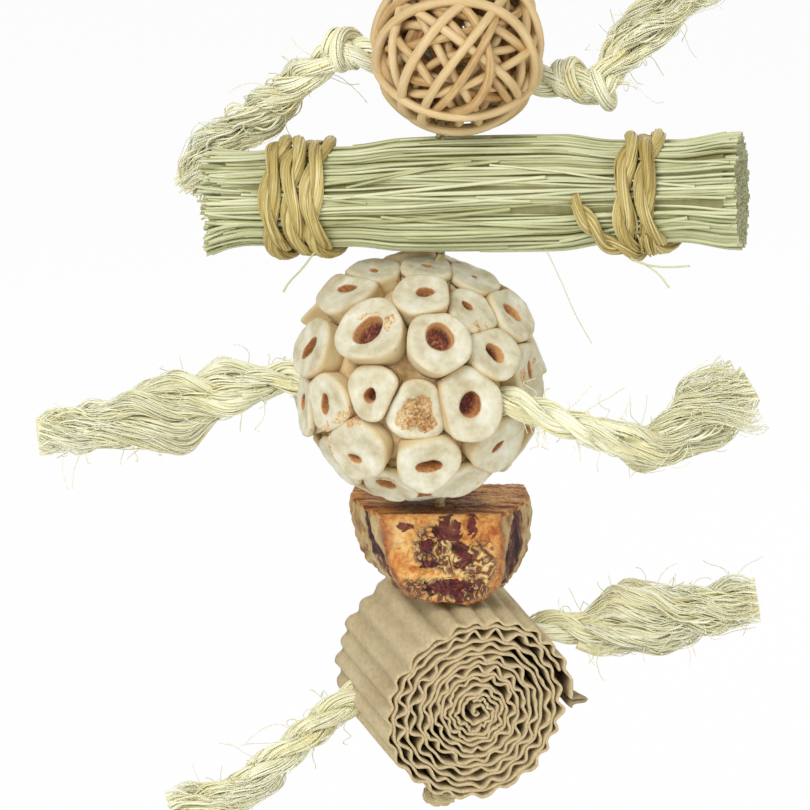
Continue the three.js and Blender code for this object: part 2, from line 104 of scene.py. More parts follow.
class Paint:
    def __init__(self, name):
        self.material = bpy.data.materials.new(name)
        self.material.use_nodes = True
        self.tree = self.material.node_tree
        self.shader = self.tree.nodes["Principled BSDF"]

    def feed(self, socket, value):
        if isinstance(value, Wire):
            self.tree.links.new(value.socket, socket)
        elif socket.type == "RGBA":
            socket.default_value = (*tone(*value), 1)
        else:
            socket.default_value = value

    def node(self, kind, settings=None, sockets=None, out=0):
        made = self.tree.nodes.new(kind)
        for key, value in (settings or {}).items():
            if key == "stops":
                elements = made.color_ramp.elements
                elements.remove(elements[1])
                elements[0].position, elements[0].color = value[0][0], (*tone(*value[0][1]), 1)
                for at, colour in value[1:]:
                    elements.new(at).color = (*tone(*colour), 1)
            else:
                setattr(made, key, value)
        for key, value in (sockets or {}).items():
            self.feed(made.inputs[key], value)
        return Wire(self, made.outputs[out])

    def attribute(self, name):
        return self.node("ShaderNodeAttribute", {"attribute_name": name}, out="Fac")

    def place(self):
        return self.node("ShaderNodeTexCoord", out="Object")

    def axes(self, vector):
        made = self.tree.nodes.new("ShaderNodeSeparateXYZ")
        self.feed(made.inputs[0], vector)
        return [Wire(self, made.outputs[axis]) for axis in range(3)]

    def vector(self, x, y, z):
        return self.node("ShaderNodeCombineXYZ", sockets={"X": x, "Y": y, "Z": z})

    def grain(self, vector, scale, detail=2.0, roughness=0.5, distortion=0.0):
        sockets = {"Vector": vector, "Scale": scale, "Detail": detail}
        sockets.update({"Roughness": roughness, "Distortion": distortion})
        return self.node("ShaderNodeTexNoise", sockets=sockets)

    def ramp(self, value, stops):
        return self.node("ShaderNodeValToRGB", {"stops": stops}, {0: value})

    def between(self, value, low, high):
        # 0 up to low, 1 from high, smooth in between
        sockets = {"Value": value, "From Min": low, "From Max": high}
        return self.node("ShaderNodeMapRange", {"interpolation_type": "SMOOTHSTEP"}, sockets)

    def mix(self, factor, first, second):
        return self.node("ShaderNodeMix", {"data_type": "RGBA"}, {0: factor, 6: first, 7: second}, out=2)

    def bump(self, height, strength, distance):
        sockets = {"Height": height, "Strength": strength, "Distance": distance}
        return self.node("ShaderNodeBump", sockets=sockets)

    def done(self, sockets):
        for key, value in sockets.items():
            self.feed(self.shader.inputs[key], value)
        return self.material


# Paints

def strandPaint(name, colours, streak=260.0, spread=0.55, roughness=0.6, sheen=0.0, bump=0.2,
                cut=(120, 104, 60)):
    # Fibres, stalks and canes: a tint for each strand, and streaks that run along it
    paint = Paint(name)
    along, strand = paint.attribute("along"), paint.attribute("strand")
    around = paint.vector(paint.attribute("ringX"), paint.attribute("ringY"), along * streak + strand * 41.0)
    lines = paint.grain(around, 1.6, 3.0, 0.6)
    patches = paint.grain(paint.place(), 75.0, 3.0)
    amount = strand * spread + (lines - 0.5) * 0.7 + (patches - 0.5) * 0.5 + (0.5 - spread / 2)
    return paint.done({
        "Base Color": paint.mix(paint.attribute("cut") * 0.7, paint.ramp(amount, colours), cut),
        "Roughness": paint.between(lines, 0.1, 0.9) * 0.2 + (roughness - 0.1),
        "Normal": paint.bump(lines, bump, 0.0004),
        "Sheen Weight": sheen,
    })


def solaPaint():
    paint = Paint("solaPith")
    spot = paint.place()
    pith, side, torn = (paint.attribute(name) for name in ("pith", "side", "torn"))
    mottle = paint.grain(spot, 170.0, 4.0, 0.6)
    fine = paint.grain(spot, 1300.0, 3.0, 0.7)
    blotch = paint.grain(spot, 60.0, 2.0)
    face = paint.ramp(mottle, [(0.3, (190, 176, 138)), (0.5, (212, 205, 176)), (0.72, (233, 230, 212))])
    flank = paint.ramp(blotch, [(0.3, (194, 158, 104)), (0.5, (212, 190, 142)), (0.7, (222, 207, 168))])
    body = paint.mix(side, face, flank)
    wall = paint.ramp(fine * 0.45 + blotch * 0.55, [
        (0.34, (138, 82, 44)), (0.46, (190, 130, 74)), (0.56, (214, 164, 104)), (0.7, (228, 192, 140)),
    ])
    # Floor of a hole, darker than its wall: partly the pith's own brown, partly painted shade deep in the
    # hole
    floor = paint.ramp(fine * 0.6 + mottle * 0.4, [
        (0.38, (56, 26, 24)), (0.5, (108, 54, 42)), (0.6, (158, 98, 62)), (0.68, (218, 188, 150)),
    ])
    crumbs = paint.ramp(fine * 0.55 + mottle * 0.45, [
        (0.38, (124, 80, 42)), (0.48, (180, 136, 84)), (0.56, (214, 184, 134)), (0.66, (232, 216, 176)),
    ])
    ragged = paint.between(torn + (mottle - 0.5) * 1.9 + (blotch - 0.5) * 2.2, 0.46, 0.62)
    colour = paint.mix(ragged, body, crumbs)
    hole = paint.mix(paint.between(pith, 1.15, 1.8), wall, floor)
    return paint.done({
        "Base Color": paint.mix(paint.between(pith, 0.25, 0.75), colour, hole),
        "Roughness": 0.88,
        "Normal": paint.bump(fine * 0.6 + mottle, 0.4, 0.0006),
        "Sheen Weight": 0.1,
    })


def corePaint():
    # What shows in the cracks between the sola sticks
    paint = Paint("solaCrevice")
    blotch = paint.grain(paint.place(), 120.0, 4.0, 0.6)
    return paint.done({
        "Base Color": paint.ramp(blotch, [(0.34, (148, 112, 66)), (0.58, (220, 196, 148))]),
        "Roughness": 0.95,
        "Normal": paint.bump(blotch, 0.6, 0.001),
    })


woodLook = {
    # Dark patches on the facet, in millimetres: across, below the top, half width, half height
    "stains": [(2.2, 5.2, 3.6, 4.2), (9.0, 4.0, 1.6, 3.2), (6.4, 12.8, 2.4, 4.6), (2.6, 20.8, 6.6, 2.2),
               (-9.6, 4.0, 2.2, 1.3), (-3.6, 9.2, 1.8, 2.2), (-3.0, 14.2, 3.0, 1.0), (5.4, 23.2, 1.8, 2.2)],
    # Worm-eaten patches: the same
    "worms": [(-2.5, 9.5, 5.0, 5.5), (11.5, 14.5, 4.6, 6.0), (3.0, 13.0, 6.0, 4.0), (1.0, 21.5, 13.0, 3.6)],
    # Painted shadow of the ball above, dark on the top: its edge fades between these distances from the cord
    "paintedBallShadow": (15.5, 10.0),
}


def woodPaint():
    # Cut facet with a worm-eaten look, bark on the flanks, long fibres on the top
    paint = Paint("barkWood")
    spot = paint.place()
    across, along, high = paint.axes(spot)
    facet, top, furrow, rim = (paint.attribute(name) for name in ("facet", "top", "furrow", "rim"))
    warp = paint.grain(spot, 90.0, 2.0)
    crinkle = paint.grain(spot, 260.0, 2.5, 0.5, 1.2)
    specks = paint.grain(spot, 900.0, 3.0, 0.65)

    def patches(rows, start, end, ragged):
        # 1 inside any of the patches, fading out at their ragged edges
        mask = None
        for x, below, wide, tall in rows:
            offX = (across - x * mm) / (wide * mm)
            offZ = (high - (tower["woodTop"] - below) * mm) / (tall * mm)
            inside = paint.between(offX * offX + offZ * offZ + ragged, start, end)
            mask = mask.most(inside) if mask else inside
        return mask

    uneven = (crinkle - 0.5) * 4.2 + (specks - 0.5) * 1.0
    stains = patches(woodLook["stains"], 1.15, 0.8, uneven)
    eaten = patches(woodLook["worms"], 1.4, 0.7, (warp - 0.5) * 2.4)
    worms = paint.grain(spot, 150.0, 1.2, 0.4, 3.4)
    ridge = abs(worms - 0.5)
    lines = 1 - paint.between(ridge, 0.035, 0.08)
    halo = 1 - paint.between(ridge, 0.06, 0.14)
    heart = paint.ramp(warp * 0.5 + crinkle * 0.3 + specks * 0.2, [
        (0.39, (166, 84, 32)), (0.455, (205, 134, 62)),
        (0.52, (229, 181, 106)), (0.62, (238, 214, 154)),
    ])
    edge = paint.between(rim + (warp - 0.5) * 1.3 + (crinkle - 0.5) * 0.7, 0.72, 1.12)
    burnt = paint.ramp(crinkle * 0.6 + specks * 0.4, [
        (0.36, (104, 46, 18)), (0.5, (166, 86, 30)), (0.64, (208, 136, 66)),
    ])
    heart = paint.mix(edge * 0.9, heart, burnt)
    heart = paint.mix(halo * eaten * 0.75, heart, (244, 216, 160))
    squiggle = paint.ramp(warp, [(0.4, (80, 20, 14)), (0.6, (124, 46, 18))])
    heart = paint.mix(lines * eaten * 0.95, heart, squiggle)
    maroon = paint.ramp(specks * 0.4 + crinkle * 0.6, [
        (0.36, (58, 14, 16)), (0.5, (104, 30, 38)), (0.64, (146, 62, 42)),
    ])
    heart = paint.mix(stains * 0.95, heart, maroon)
    squash = paint.node("ShaderNodeMapping", sockets={"Vector": spot, "Scale": (1.0, 1.0, 0.3)})
    ridges = paint.grain(squash, 240.0, 4.0, 0.65, 1.0)
    bark = paint.ramp(ridges * 0.7 + warp * 0.3, [
        (0.34, (96, 58, 34)), (0.42, (150, 110, 66)), (0.5, (186, 158, 108)), (0.64, (206, 188, 142)),
    ])
    dark = paint.ramp(ridges, [
        (0.4, (38, 18, 18)), (0.5, (84, 46, 40)), (0.58, (124, 82, 62)), (0.66, (186, 150, 112)),
    ])
    bark = paint.mix(paint.between(furrow + (ridges - 0.5) * 0.5, 0.04, 0.2), bark, dark)
    bark = paint.mix(paint.between(rim + (ridges - 0.5) * 0.8, 0.35, 0.9) * 0.85, bark, burnt)
    lay = paint.node("ShaderNodeMapping", sockets={"Vector": spot, "Scale": (0.2, 1.0, 1.0)})
    fibres = paint.grain(lay, 380.0, 4.0, 0.65, 0.6)
    crown = paint.ramp(fibres * 0.8 + warp * 0.2, [
        (0.36, (84, 42, 20)), (0.44, (156, 94, 42)), (0.53, (208, 146, 76)), (0.66, (230, 190, 126)),
    ])
    # Painted shadow: the top is painted dark where the ball above sits on it
    outer, inner = (reach * reach * mm * mm for reach in woodLook["paintedBallShadow"])
    paintedBallShadow = paint.between(across * across + along * along, outer, inner)
    crown = paint.mix(paintedBallShadow * 0.6, crown, (66, 34, 18))
    colour = paint.mix(paint.between(facet, 0.35, 0.65), bark, heart)
    colour = paint.mix(paint.between(top + (fibres - 0.5) * 0.6, 0.35, 0.6), colour, crown)
    height = ridges * 0.7 + fibres * 0.4 + specks * 0.3
    height = height + (halo - lines * 1.6) * eaten * facet - stains * facet * 0.7
    return paint.done({
        "Base Color": colour,
        "Roughness": paint.between(specks, 0.2, 0.8) * 0.3 + 0.5,
        "Normal": paint.bump(height, 0.9, 0.0015),
    })


def boardPaint():
    paint = Paint("kraftBoard")
    spot = paint.place()
    edge, deep = paint.attribute("edge"), paint.attribute("deep")
    drawn = paint.node("ShaderNodeMapping", sockets={"Vector": spot, "Scale": (1.0, 0.35, 1.0)})
    fibres = paint.grain(drawn, 900.0, 4.0, 0.7)
    cloud = paint.grain(spot, 55.0, 3.0)
    flecks = paint.between(paint.grain(spot, 1700.0, 1.0), 0.68, 0.74)
    kraft = paint.ramp(fibres * 0.5 + cloud * 0.5, [
        (0.32, (173, 154, 115)), (0.5, (194, 177, 138)), (0.68, (209, 194, 157)),
    ])
    kraft = paint.mix(flecks * 0.5, kraft, (138, 108, 68))
    kraft = paint.mix(deep * 0.8, kraft, (84, 62, 36))  # hardly any light reaches down between the turns
    rim = paint.ramp(fibres, [(0.3, (184, 160, 116)), (0.7, (214, 196, 156))])
    return paint.done({
        "Base Color": paint.mix(paint.between(edge, 0.5, 0.95), kraft, rim),
        "Roughness": 0.9,
        "Normal": paint.bump(fibres + cloud * 0.5, 0.3, 0.0004),
    })


paints = {
    "sisal": strandPaint("sisalFibre", [
        (0.0, (229, 211, 142)), (0.26, (240, 233, 184)), (0.55, (245, 244, 212)), (1.0, (249, 250, 234)),
    ], roughness=0.62, sheen=0.12),
    "cord": strandPaint("twistedCord", [
        (0.0, (168, 150, 102)), (0.5, (200, 184, 140)), (1.0, (222, 210, 172)),
    ]),
    "cane": strandPaint("caneSkin", [
        (0.0, (116, 74, 34)), (0.24, (172, 130, 76)), (0.5, (205, 175, 122)), (1.0, (228, 206, 160)),
    ], streak=90.0, spread=0.4, roughness=0.42, bump=0.3, cut=(150, 108, 62)),
    # A darker copy of the cane paint for the canes inside the ball: painted shade inside the ball, with the
    # canes' own browner tone
    "innerCane": strandPaint("innerCane", [
        (0.0, (104, 66, 32)), (0.4, (156, 112, 62)), (1.0, (196, 156, 102)),
    ], streak=90.0, spread=0.5, bump=0.3),
    "stalk": strandPaint("dryStalk", [
        (0.0, (100, 96, 46)), (0.15, (158, 156, 100)), (0.4, (190, 192, 144)), (0.66, (206, 209, 166)),
        (0.84, (222, 222, 184)), (1.0, (196, 168, 106)),
    ], streak=60.0, spread=0.66, roughness=0.5, cut=(104, 98, 58)),
    # A darker copy of the stalk paint for the solid heart of the sheaf: painted shade seen between the outer
    # stalks
    "shadedHeartStalk": strandPaint("shadedInnerStalk", [
        (0.0, (96, 92, 48)), (0.6, (140, 138, 88)), (1.0, (160, 158, 108)),
    ]),
    "grassRope": strandPaint("grassRope", [
        (0.0, (122, 98, 42)), (0.28, (170, 147, 78)), (0.6, (203, 185, 118)), (1.0, (238, 226, 176)),
    ], streak=140.0, spread=0.6, roughness=0.5, bump=0.35),
    "sola": solaPaint(),
    "crevice": corePaint(),
    "wood": woodPaint(),
    "board": boardPaint(),
}
print("paints made:", len(paints))


# Meshes from code and from strands

def meshPiece(name, vertices, faces, material, attributes=None):
    mesh = bpy.data.meshes.new(name)
    mesh.from_pydata((np.asarray(vertices, float) * mm).tolist(), [], faces)
    work = bmesh.new()
    work.from_mesh(mesh)
    bmesh.ops.recalc_face_normals(work, faces=work.faces)
    work.to_mesh(mesh)
    work.free()
    for key, values in (attributes or {}).items():
        mesh.attributes.new(key, "FLOAT", "POINT").data.foreach_set("value", np.asarray(values, np.float32))
    mesh.shade_smooth()
    mesh.materials.append(material)
    piece = bpy.data.objects.new(name, mesh)
    bpy.context.scene.collection.objects.link(piece)
    return piece


def ringFaces(total, count):
    # Faces between closed rings of count corners each, and a cap at both ends
    rings = total // count
    faces = [(level * count + place, level * count + (place + 1) % count,
              (level + 1) * count + (place + 1) % count, (level + 1) * count + place)
             for level in range(rings - 1) for place in range(count)]
    return faces + [tuple(range(count - 1, -1, -1)), tuple(range((rings - 1) * count, rings * count))]


def gridFaces(rows, columns, base=0):
    # Faces between open rows of corners, the first corner being base
    corners = [base + row * columns + place for row in range(rows - 1) for place in range(columns - 1)]
    return [(corner, corner + 1, corner + columns + 1, corner + columns) for corner in corners]


def makeStrandSweep():
    # Each strand becomes a tube as thick as its own points say, and keeps what its paint needs
    tree = bpy.data.node_groups.new("strandSweep", "GeometryNodeTree")
    identifiers = {}
    for label, kind in (("Strands", "Geometry"), ("Sides", "Int"), ("Seed", "Int"), ("Paint", "Material")):
        made = tree.interface.new_socket(label, in_out="INPUT", socket_type="NodeSocket" + kind)
        identifiers[label] = made.identifier
    tree.interface.new_socket("Tubes", in_out="OUTPUT", socket_type="NodeSocketGeometry")

    def step(kind, sockets=None, **settings):
        made = tree.nodes.new(kind)
        for key, value in settings.items():
            setattr(made, key, value)
        for key, value in (sockets or {}).items():
            if isinstance(value, bpy.types.NodeSocket):
                tree.links.new(value, made.inputs[key])
            else:
                made.inputs[key].default_value = value
        return made

    def keep(geometry, label, value, domain="POINT"):
        sockets = {"Geometry": geometry, "Name": label, "Value": value}
        return step("GeometryNodeStoreNamedAttribute", sockets, data_type="FLOAT", domain=domain).outputs[0]

    given = step("NodeGroupInput").outputs
    run = step("GeometryNodeSplineParameter").outputs["Length"]
    which = step("GeometryNodeCurveOfPoint").outputs["Curve Index"]
    chance = step("FunctionNodeRandomValue", {"ID": which, "Seed": given["Seed"]}, data_type="FLOAT")
    strands = keep(keep(given["Strands"], "along", run), "strand", chance.outputs["Value"])
    circle = {"Resolution": given["Sides"], "Radius": 1.0}
    ring = step("GeometryNodeCurvePrimitiveCircle", circle).outputs["Curve"]
    corner = step("ShaderNodeSeparateXYZ", {0: step("GeometryNodeInputPosition").outputs[0]}).outputs
    ring = keep(keep(ring, "ringX", corner["X"]), "ringY", corner["Y"])
    sockets = {"Curve": strands, "Profile Curve": ring, "Fill Caps": True}
    sockets["Scale"] = step("GeometryNodeInputRadius").outputs[0]
    tubes = step("GeometryNodeCurveToMesh", sockets).outputs[0]
    corners = step("GeometryNodeInputMeshFaceNeighbors").outputs["Vertex Count"]
    sideCorners = 4
    compared = {2: corners, 3: sideCorners}
    isCut = step("FunctionNodeCompare", compared, data_type="INT", operation="GREATER_THAN").outputs[0]
    tubes = keep(tubes, "cut", isCut, "FACE")
    isSide = step("FunctionNodeBooleanMath", {0: isCut}, operation="NOT").outputs[0]
    tubes = step("GeometryNodeSetShadeSmooth", {"Geometry": tubes, "Shade Smooth": isSide}).outputs[0]
    tubes = step("GeometryNodeRealizeInstances", {"Geometry": tubes}).outputs[0]
    tubes = step("GeometryNodeSetMaterial", {"Geometry": tubes, "Material": given["Paint"]}).outputs[0]
    step("NodeGroupOutput", {0: tubes})
    return tree, identifiers


strandSweep, sweepInputs = makeStrandSweep()


def sweep(name, strands, material, sides=6, seed=0, closed=False):
    # strands: (points, radius at each point) pairs
    curve = bpy.data.curves.new(name + "Lines", "CURVE")
    curve.dimensions = "3D"
    for points, radii in strands:
        spline = curve.splines.new("POLY")
        spline.points.add(len(points) - 1)
        spline.points.foreach_set("co", np.column_stack([points * mm, np.ones(len(points))]).ravel())
        spline.points.foreach_set("radius", np.broadcast_to(radii, len(points)) * mm)
        spline.use_cyclic_u = closed
    path = bpy.data.objects.new(name + "Lines", curve)
    bpy.context.scene.collection.objects.link(path)
    modifier = path.modifiers.new("strandSweep", "NODES")
    modifier.node_group = strandSweep
    for label, value in (("Sides", sides), ("Seed", seed), ("Paint", material)):
        modifier[sweepInputs[label]] = value
    bpy.context.view_layer.update()
    evaluated = path.evaluated_get(bpy.context.evaluated_depsgraph_get())
    piece = bpy.data.objects.new(name, bpy.data.meshes.new_from_object(evaluated))
    bpy.data.objects.remove(path)
    bpy.data.curves.remove(curve)
    bpy.context.scene.collection.objects.link(piece)
    return piece


def fit(piece, body, slot, *nodes):
    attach(piece, body)
    if nodes:
        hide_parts(*nodes)
    return piece


# Lines and ropes

def smoothLine(points, spacing):
    # A smooth line through the points, cut into even steps
    knots = np.asarray(points, float)
    knots = np.vstack([2 * knots[0] - knots[1], knots, 2 * knots[-1] - knots[-2]])
    finePerSpan = 24
    share = np.linspace(0, 1, finePerSpan, endpoint=False)[:, None]
    bits = []
    for a, b, c, d in zip(knots, knots[1:], knots[2:], knots[3:]):
        bits.append(0.5 * (2 * b + (c - a) * share + (2 * a - 5 * b + 4 * c - d) * share**2
                           + (3 * b - a - 3 * c + d) * share**3))
    fine = np.vstack([*bits, knots[-2]])
    run = runAlong(fine)
    even = np.linspace(0, run[-1], max(3, round(run[-1] / spacing) + 1))
    return np.column_stack([np.interp(even, run, fine[:, axis]) for axis in range(3)])


def runAlong(line):
    return np.concatenate([[0.0], np.cumsum(np.linalg.norm(np.diff(line, axis=0), axis=1))])


def runningMean(values, span):
    # The mean over as many places as span says to either side
    width = 2 * span + 1
    return np.convolve(np.pad(values, span, mode="edge"), np.ones(width) / width, mode="valid")


def unit(vectors):
    return vectors / np.linalg.norm(vectors, axis=-1, keepdims=True)


def sideways(line):
    # Two directions across the line at each point, turning as little as they can
    tangent = unit(np.gradient(line, axis=0))
    across = np.cross(tangent[0], [0.0, 0.0, 1.0])
    if np.linalg.norm(across) < 0.1:
        across = np.cross(tangent[0], [0.0, 1.0, 0.0])
    rows = []
    for ahead in tangent:
        across = unit(across - ahead * across.dot(ahead))
        rows.append(across)
    across = np.array(rows)
    return across, np.cross(tangent, across)


layLook = {
    "core": 0.9,
    "opened": 0.25,
    "uneven": 0.3,
    "wind": (0.35, 0.6),
    "depth": (0.93, 1.0),
    "puff": (-0.75, 0.9),
    "sway": (0.2, 1.1),
    "swayRun": (1.6, 3.2),
    "thickness": (0.75, 1.15),
    "farthest": 1.5,
}


def layRope(line, radius, rng, strands=3, lay=30.0, fibres=20, thick=0.3, loose=0.0, squeeze=(1, 1),
            ways=None):
    # Twisted strands, each a solid core under its own fibres. loose, 0 to 1, opens the twist.
    look = layLook
    across, up = ways or sideways(line)
    across, up = across * squeeze[0], up * squeeze[1]
    run = runAlong(line)
    turn = fullTurn * run / lay + rng.uniform(0, anyAngle)
    radius, loose = np.broadcast_to(radius, len(line)), np.broadcast_to(loose, len(line))
    inner = radius / (1 + 1 / math.sin(math.pi / strands))
    reach = (radius - inner) * (1 + look["opened"] * loose)
    made = []
    for strand in range(strands):
        angle = turn + fullTurn * strand / strands
        centre = line + (reach * np.cos(angle))[:, None] * across + (reach * np.sin(angle))[:, None] * up
        made.append((centre, np.maximum(inner * look["core"] * (1 - loose), thick)))
        for fibre in range(fibres):
            place = fibre + rng.uniform(-look["uneven"], look["uneven"])
            own = fullTurn * place / fibres - turn * rng.uniform(*look["wind"])
            depth = rng.uniform(*look["depth"])
            out = inner * (depth + loose * rng.uniform(*look["puff"]))
            sway = loose * rng.uniform(*look["sway"])
            out = out + sway * np.sin(run / rng.uniform(*look["swayRun"]) + rng.uniform(0, anyAngle))
            points = centre + (out * np.cos(own))[:, None] * across + (out * np.sin(own))[:, None] * up
            stray = np.linalg.norm(points - line, axis=1, keepdims=True)
            points = line + (points - line) * np.minimum(1, look["farthest"] * radius[:, None] / stray)
            made.append((points, thick * rng.uniform(*look["thickness"])))
    return made


ropeLook = {
    "radius": ropeRadius,
    "spacing": 1.7,
    "lay": 32.0,
    "fibres": 26,
    "loosensOver": 0.3,
    "evenedOver": 3,
    "hairs": 84,
    "hairLength": 16.5,
    "hairLengths": (0.35, 1.0),
    "hairThick": 0.13,
    "hairSteps": 18,
    "hairRoot": 0.7,
    "hairUpTo": 0.9,
    "hairOut": (0.4, 1.0),
    "hairAhead": (-0.6, 0.9),
    "hairCurl": 0.34,
    "hairCurlDrift": 0.05,
    "hairWander": 0.07,
    # The frayed end: fibres in locks that still wind a little
    "locks": 9,
    "lockSpread": 0.8,
    "lockUneven": 0.4,
    "lockDrift": 0.26,
    "lockDriftRun": (24, 44),
    "lockWidth": 0.37,
    "swirl": 150.0,
    "frayFibres": 640,
    "frayThick": 0.19,
    "frayThickness": (0.7, 1.2),
    "frayTaper": 0.45,
    "fraySplay": 1.2,
    "fibreWind": (34, 70),
    "crimp": 0.62,
    "crimpRun": (11, 19),
    "bodies": 0.4,
    "bodyEnd": 0.9,
    "endUneven": 0.06,
    "shortFibres": 0.2,
    "shortEnd": (0.55, 0.95),
}


def hairs(line, rng, look):
    # Single fibres that have sprung out of a rope, each with its own curl
    across, up = sideways(line)
    tangent = unit(np.gradient(line, axis=0))
    made = []
    for _ in range(look["hairs"]):
        at = rng.integers(0, int(len(line) * look["hairUpTo"]))
        angle = rng.uniform(0, fullTurn)
        out = across[at] * math.cos(angle) + up[at] * math.sin(angle)
        heading = unit(out * rng.uniform(*look["hairOut"]) + tangent[at] * rng.uniform(*look["hairAhead"]))
        axis, curl = unit(rng.normal(0, 1, 3)), rng.normal(0, look["hairCurl"])
        stride = rng.uniform(*look["hairLengths"]) * look["hairLength"] / look["hairSteps"]
        points = [line[at] + out * ropeRadius * look["hairRoot"]]
        for _ in range(look["hairSteps"]):
            points.append(points[-1] + heading * stride)
            heading = unit(heading + np.cross(axis, heading) * curl + rng.normal(0, look["hairWander"], 3))
            curl += rng.normal(0, look["hairCurlDrift"])
        made.append((np.array(points), look["hairThick"]))
    return made


def frayedEnd(line, rng, look):
    # Loosened fibres, spreading as far as the half widths say
    across, up = sideways(line)
    run = runAlong(line)
    total = run[-1]
    wide = np.interp(run, np.linspace(0, total, len(look["widths"])), look["widths"])
    locks = []
    for lock in range(look["locks"]):
        away = look["lockSpread"] * math.sqrt((lock + 0.5) / look["locks"])
        angle = lock * goldenTurn + rng.uniform(-look["lockUneven"], look["lockUneven"])
        angle = angle + fullTurn * run / look["swirl"]
        sway = fullTurn * run / rng.uniform(*look["lockDriftRun"]) + rng.uniform(0, anyAngle)
        drift = look["lockDrift"] * np.sin(sway)
        x, y = (away + drift) * np.cos(angle), (away + drift) * np.sin(angle)
        locks.append((x, y, rng.uniform(*look["crimpRun"]), rng.uniform(0, anyAngle)))
    made = []
    for fibre in range(look["frayFibres"] + look["locks"]):
        lockX, lockY, wave, phase = locks[fibre % len(locks)]
        body = fibre < look["locks"]  # each lock has a fuller strand under its fibres
        inner = 0.0 if body else look["lockWidth"] * rng.random() ** 0.25
        wind = rng.uniform(0, anyAngle) + fullTurn * run / rng.uniform(*look["fibreWind"])
        begin = rng.uniform(look["frayFrom"] * 0.6, look["frayFrom"] * 1.1 + 0.05) * total
        end = total * (look["bodyEnd"] if body else 1 - abs(rng.normal(0, look["endUneven"])))
        if not body and rng.random() < look["shortFibres"]:
            end = rng.uniform(*look["shortEnd"]) * total
        chosen = (run >= begin) & (run <= end)
        if chosen.sum() < 5:
            continue
        here = run[chosen]
        share = (here - here[0]) / (here[-1] - here[0])
        crimp = look["crimp"] * np.minimum(1, share * 3)
        sideX = crimp * np.sin(fullTurn * here / wave + phase) + rng.normal(0, look["fraySplay"]) * share**3
        sideY = crimp * np.cos(1.8 * math.pi * here / wave + phase)
        sideY = sideY + rng.normal(0, look["fraySplay"]) * share**3
        spread = wide[chosen] * (0.7 + 0.3 * np.minimum(1, share * 4))
        x = (lockX + inner * np.cos(wind))[chosen] * spread + sideX
        y = (lockY + inner * np.sin(wind))[chosen] * spread + sideY
        points = line[chosen] + x[:, None] * across[chosen] + y[:, None] * up[chosen]
        core = look["bodies"] * spread * (1 - share) ** 0.5 + 0.05
        thick = core if body else look["frayThick"] * rng.uniform(*look["frayThickness"])
        made.append((points, thick * (1 - look["frayTaper"] * share**2)))
    return made


def ropeTail(chew, side, body, inside, tail, seed):
    # One side of a chew's sisal rope: from inside the chew, out, and into its frayed end
    name = f"{chew}Rope{side.title()}"
    nodes = [f"{chew}_tail_{side}"] + ([f"{chew}_rope_core"] if side == "left" else [])
    look = {**ropeLook, **tail}
    rng = np.random.default_rng(seed)
    out = np.asarray(tail["start"]) + np.asarray(tail["route"], float)
    line = smoothLine(np.vstack([inside, out]), look["spacing"])
    run = runAlong(line)
    outside = run[np.argmin(np.linalg.norm(line - out[0], axis=1))]
    share = np.clip((run - outside) / (run[-1] - outside), 0, 1)
    wide = np.interp(share, np.linspace(0, 1, len(look["widths"])), look["widths"])
    loose = np.clip((share - look["frayFrom"]) / look["loosensOver"], 0, 1)
    radius = np.where(share > 0, np.minimum(wide, look["radius"]), look["radius"])
    radius = runningMean(radius, look["evenedOver"])
    strands = layRope(line, radius, rng, lay=look["lay"], fibres=look["fibres"], loose=loose)
    rope = fit(sweep(name, strands, paints["sisal"], 4, seed), body, "sisal", *nodes)
    bare = line[share > 0]
    fray = frayedEnd(bare, rng, look) + hairs(bare, rng, look)
    ends = fit(sweep(name + "Fray", fray, paints["sisal"], 3, seed + 1), body, "sisal")


# Hanging loop, core cord and its knots

cordLook = {
    "radius": 1.5,
    "lay": 9.0,
    "fibres": 7,
    "thick": 0.17,
    "spacing": 1.5,
    "lengths": 5,
    "loopHeight": 34.0,
    "loopHalfWidth": 7.5,
    "loopSpacing": 0.9,
    # Knots: piece, body, node and turns
    "knots": [("topKnot", "knot", "top_knot", 3), ("bottomKnot", "cord_5", "bottom_knot", 2)],
    "knotSteps": 24,
    "knotInset": 1.7,
    "knotLean": 0.7,
    "knotCore": 0.55,
}


def twistedCord(line, rng, radius=cordLook["radius"]):
    return layRope(line, radius, rng, 3, cordLook["lay"], cordLook["fibres"], cordLook["thick"])


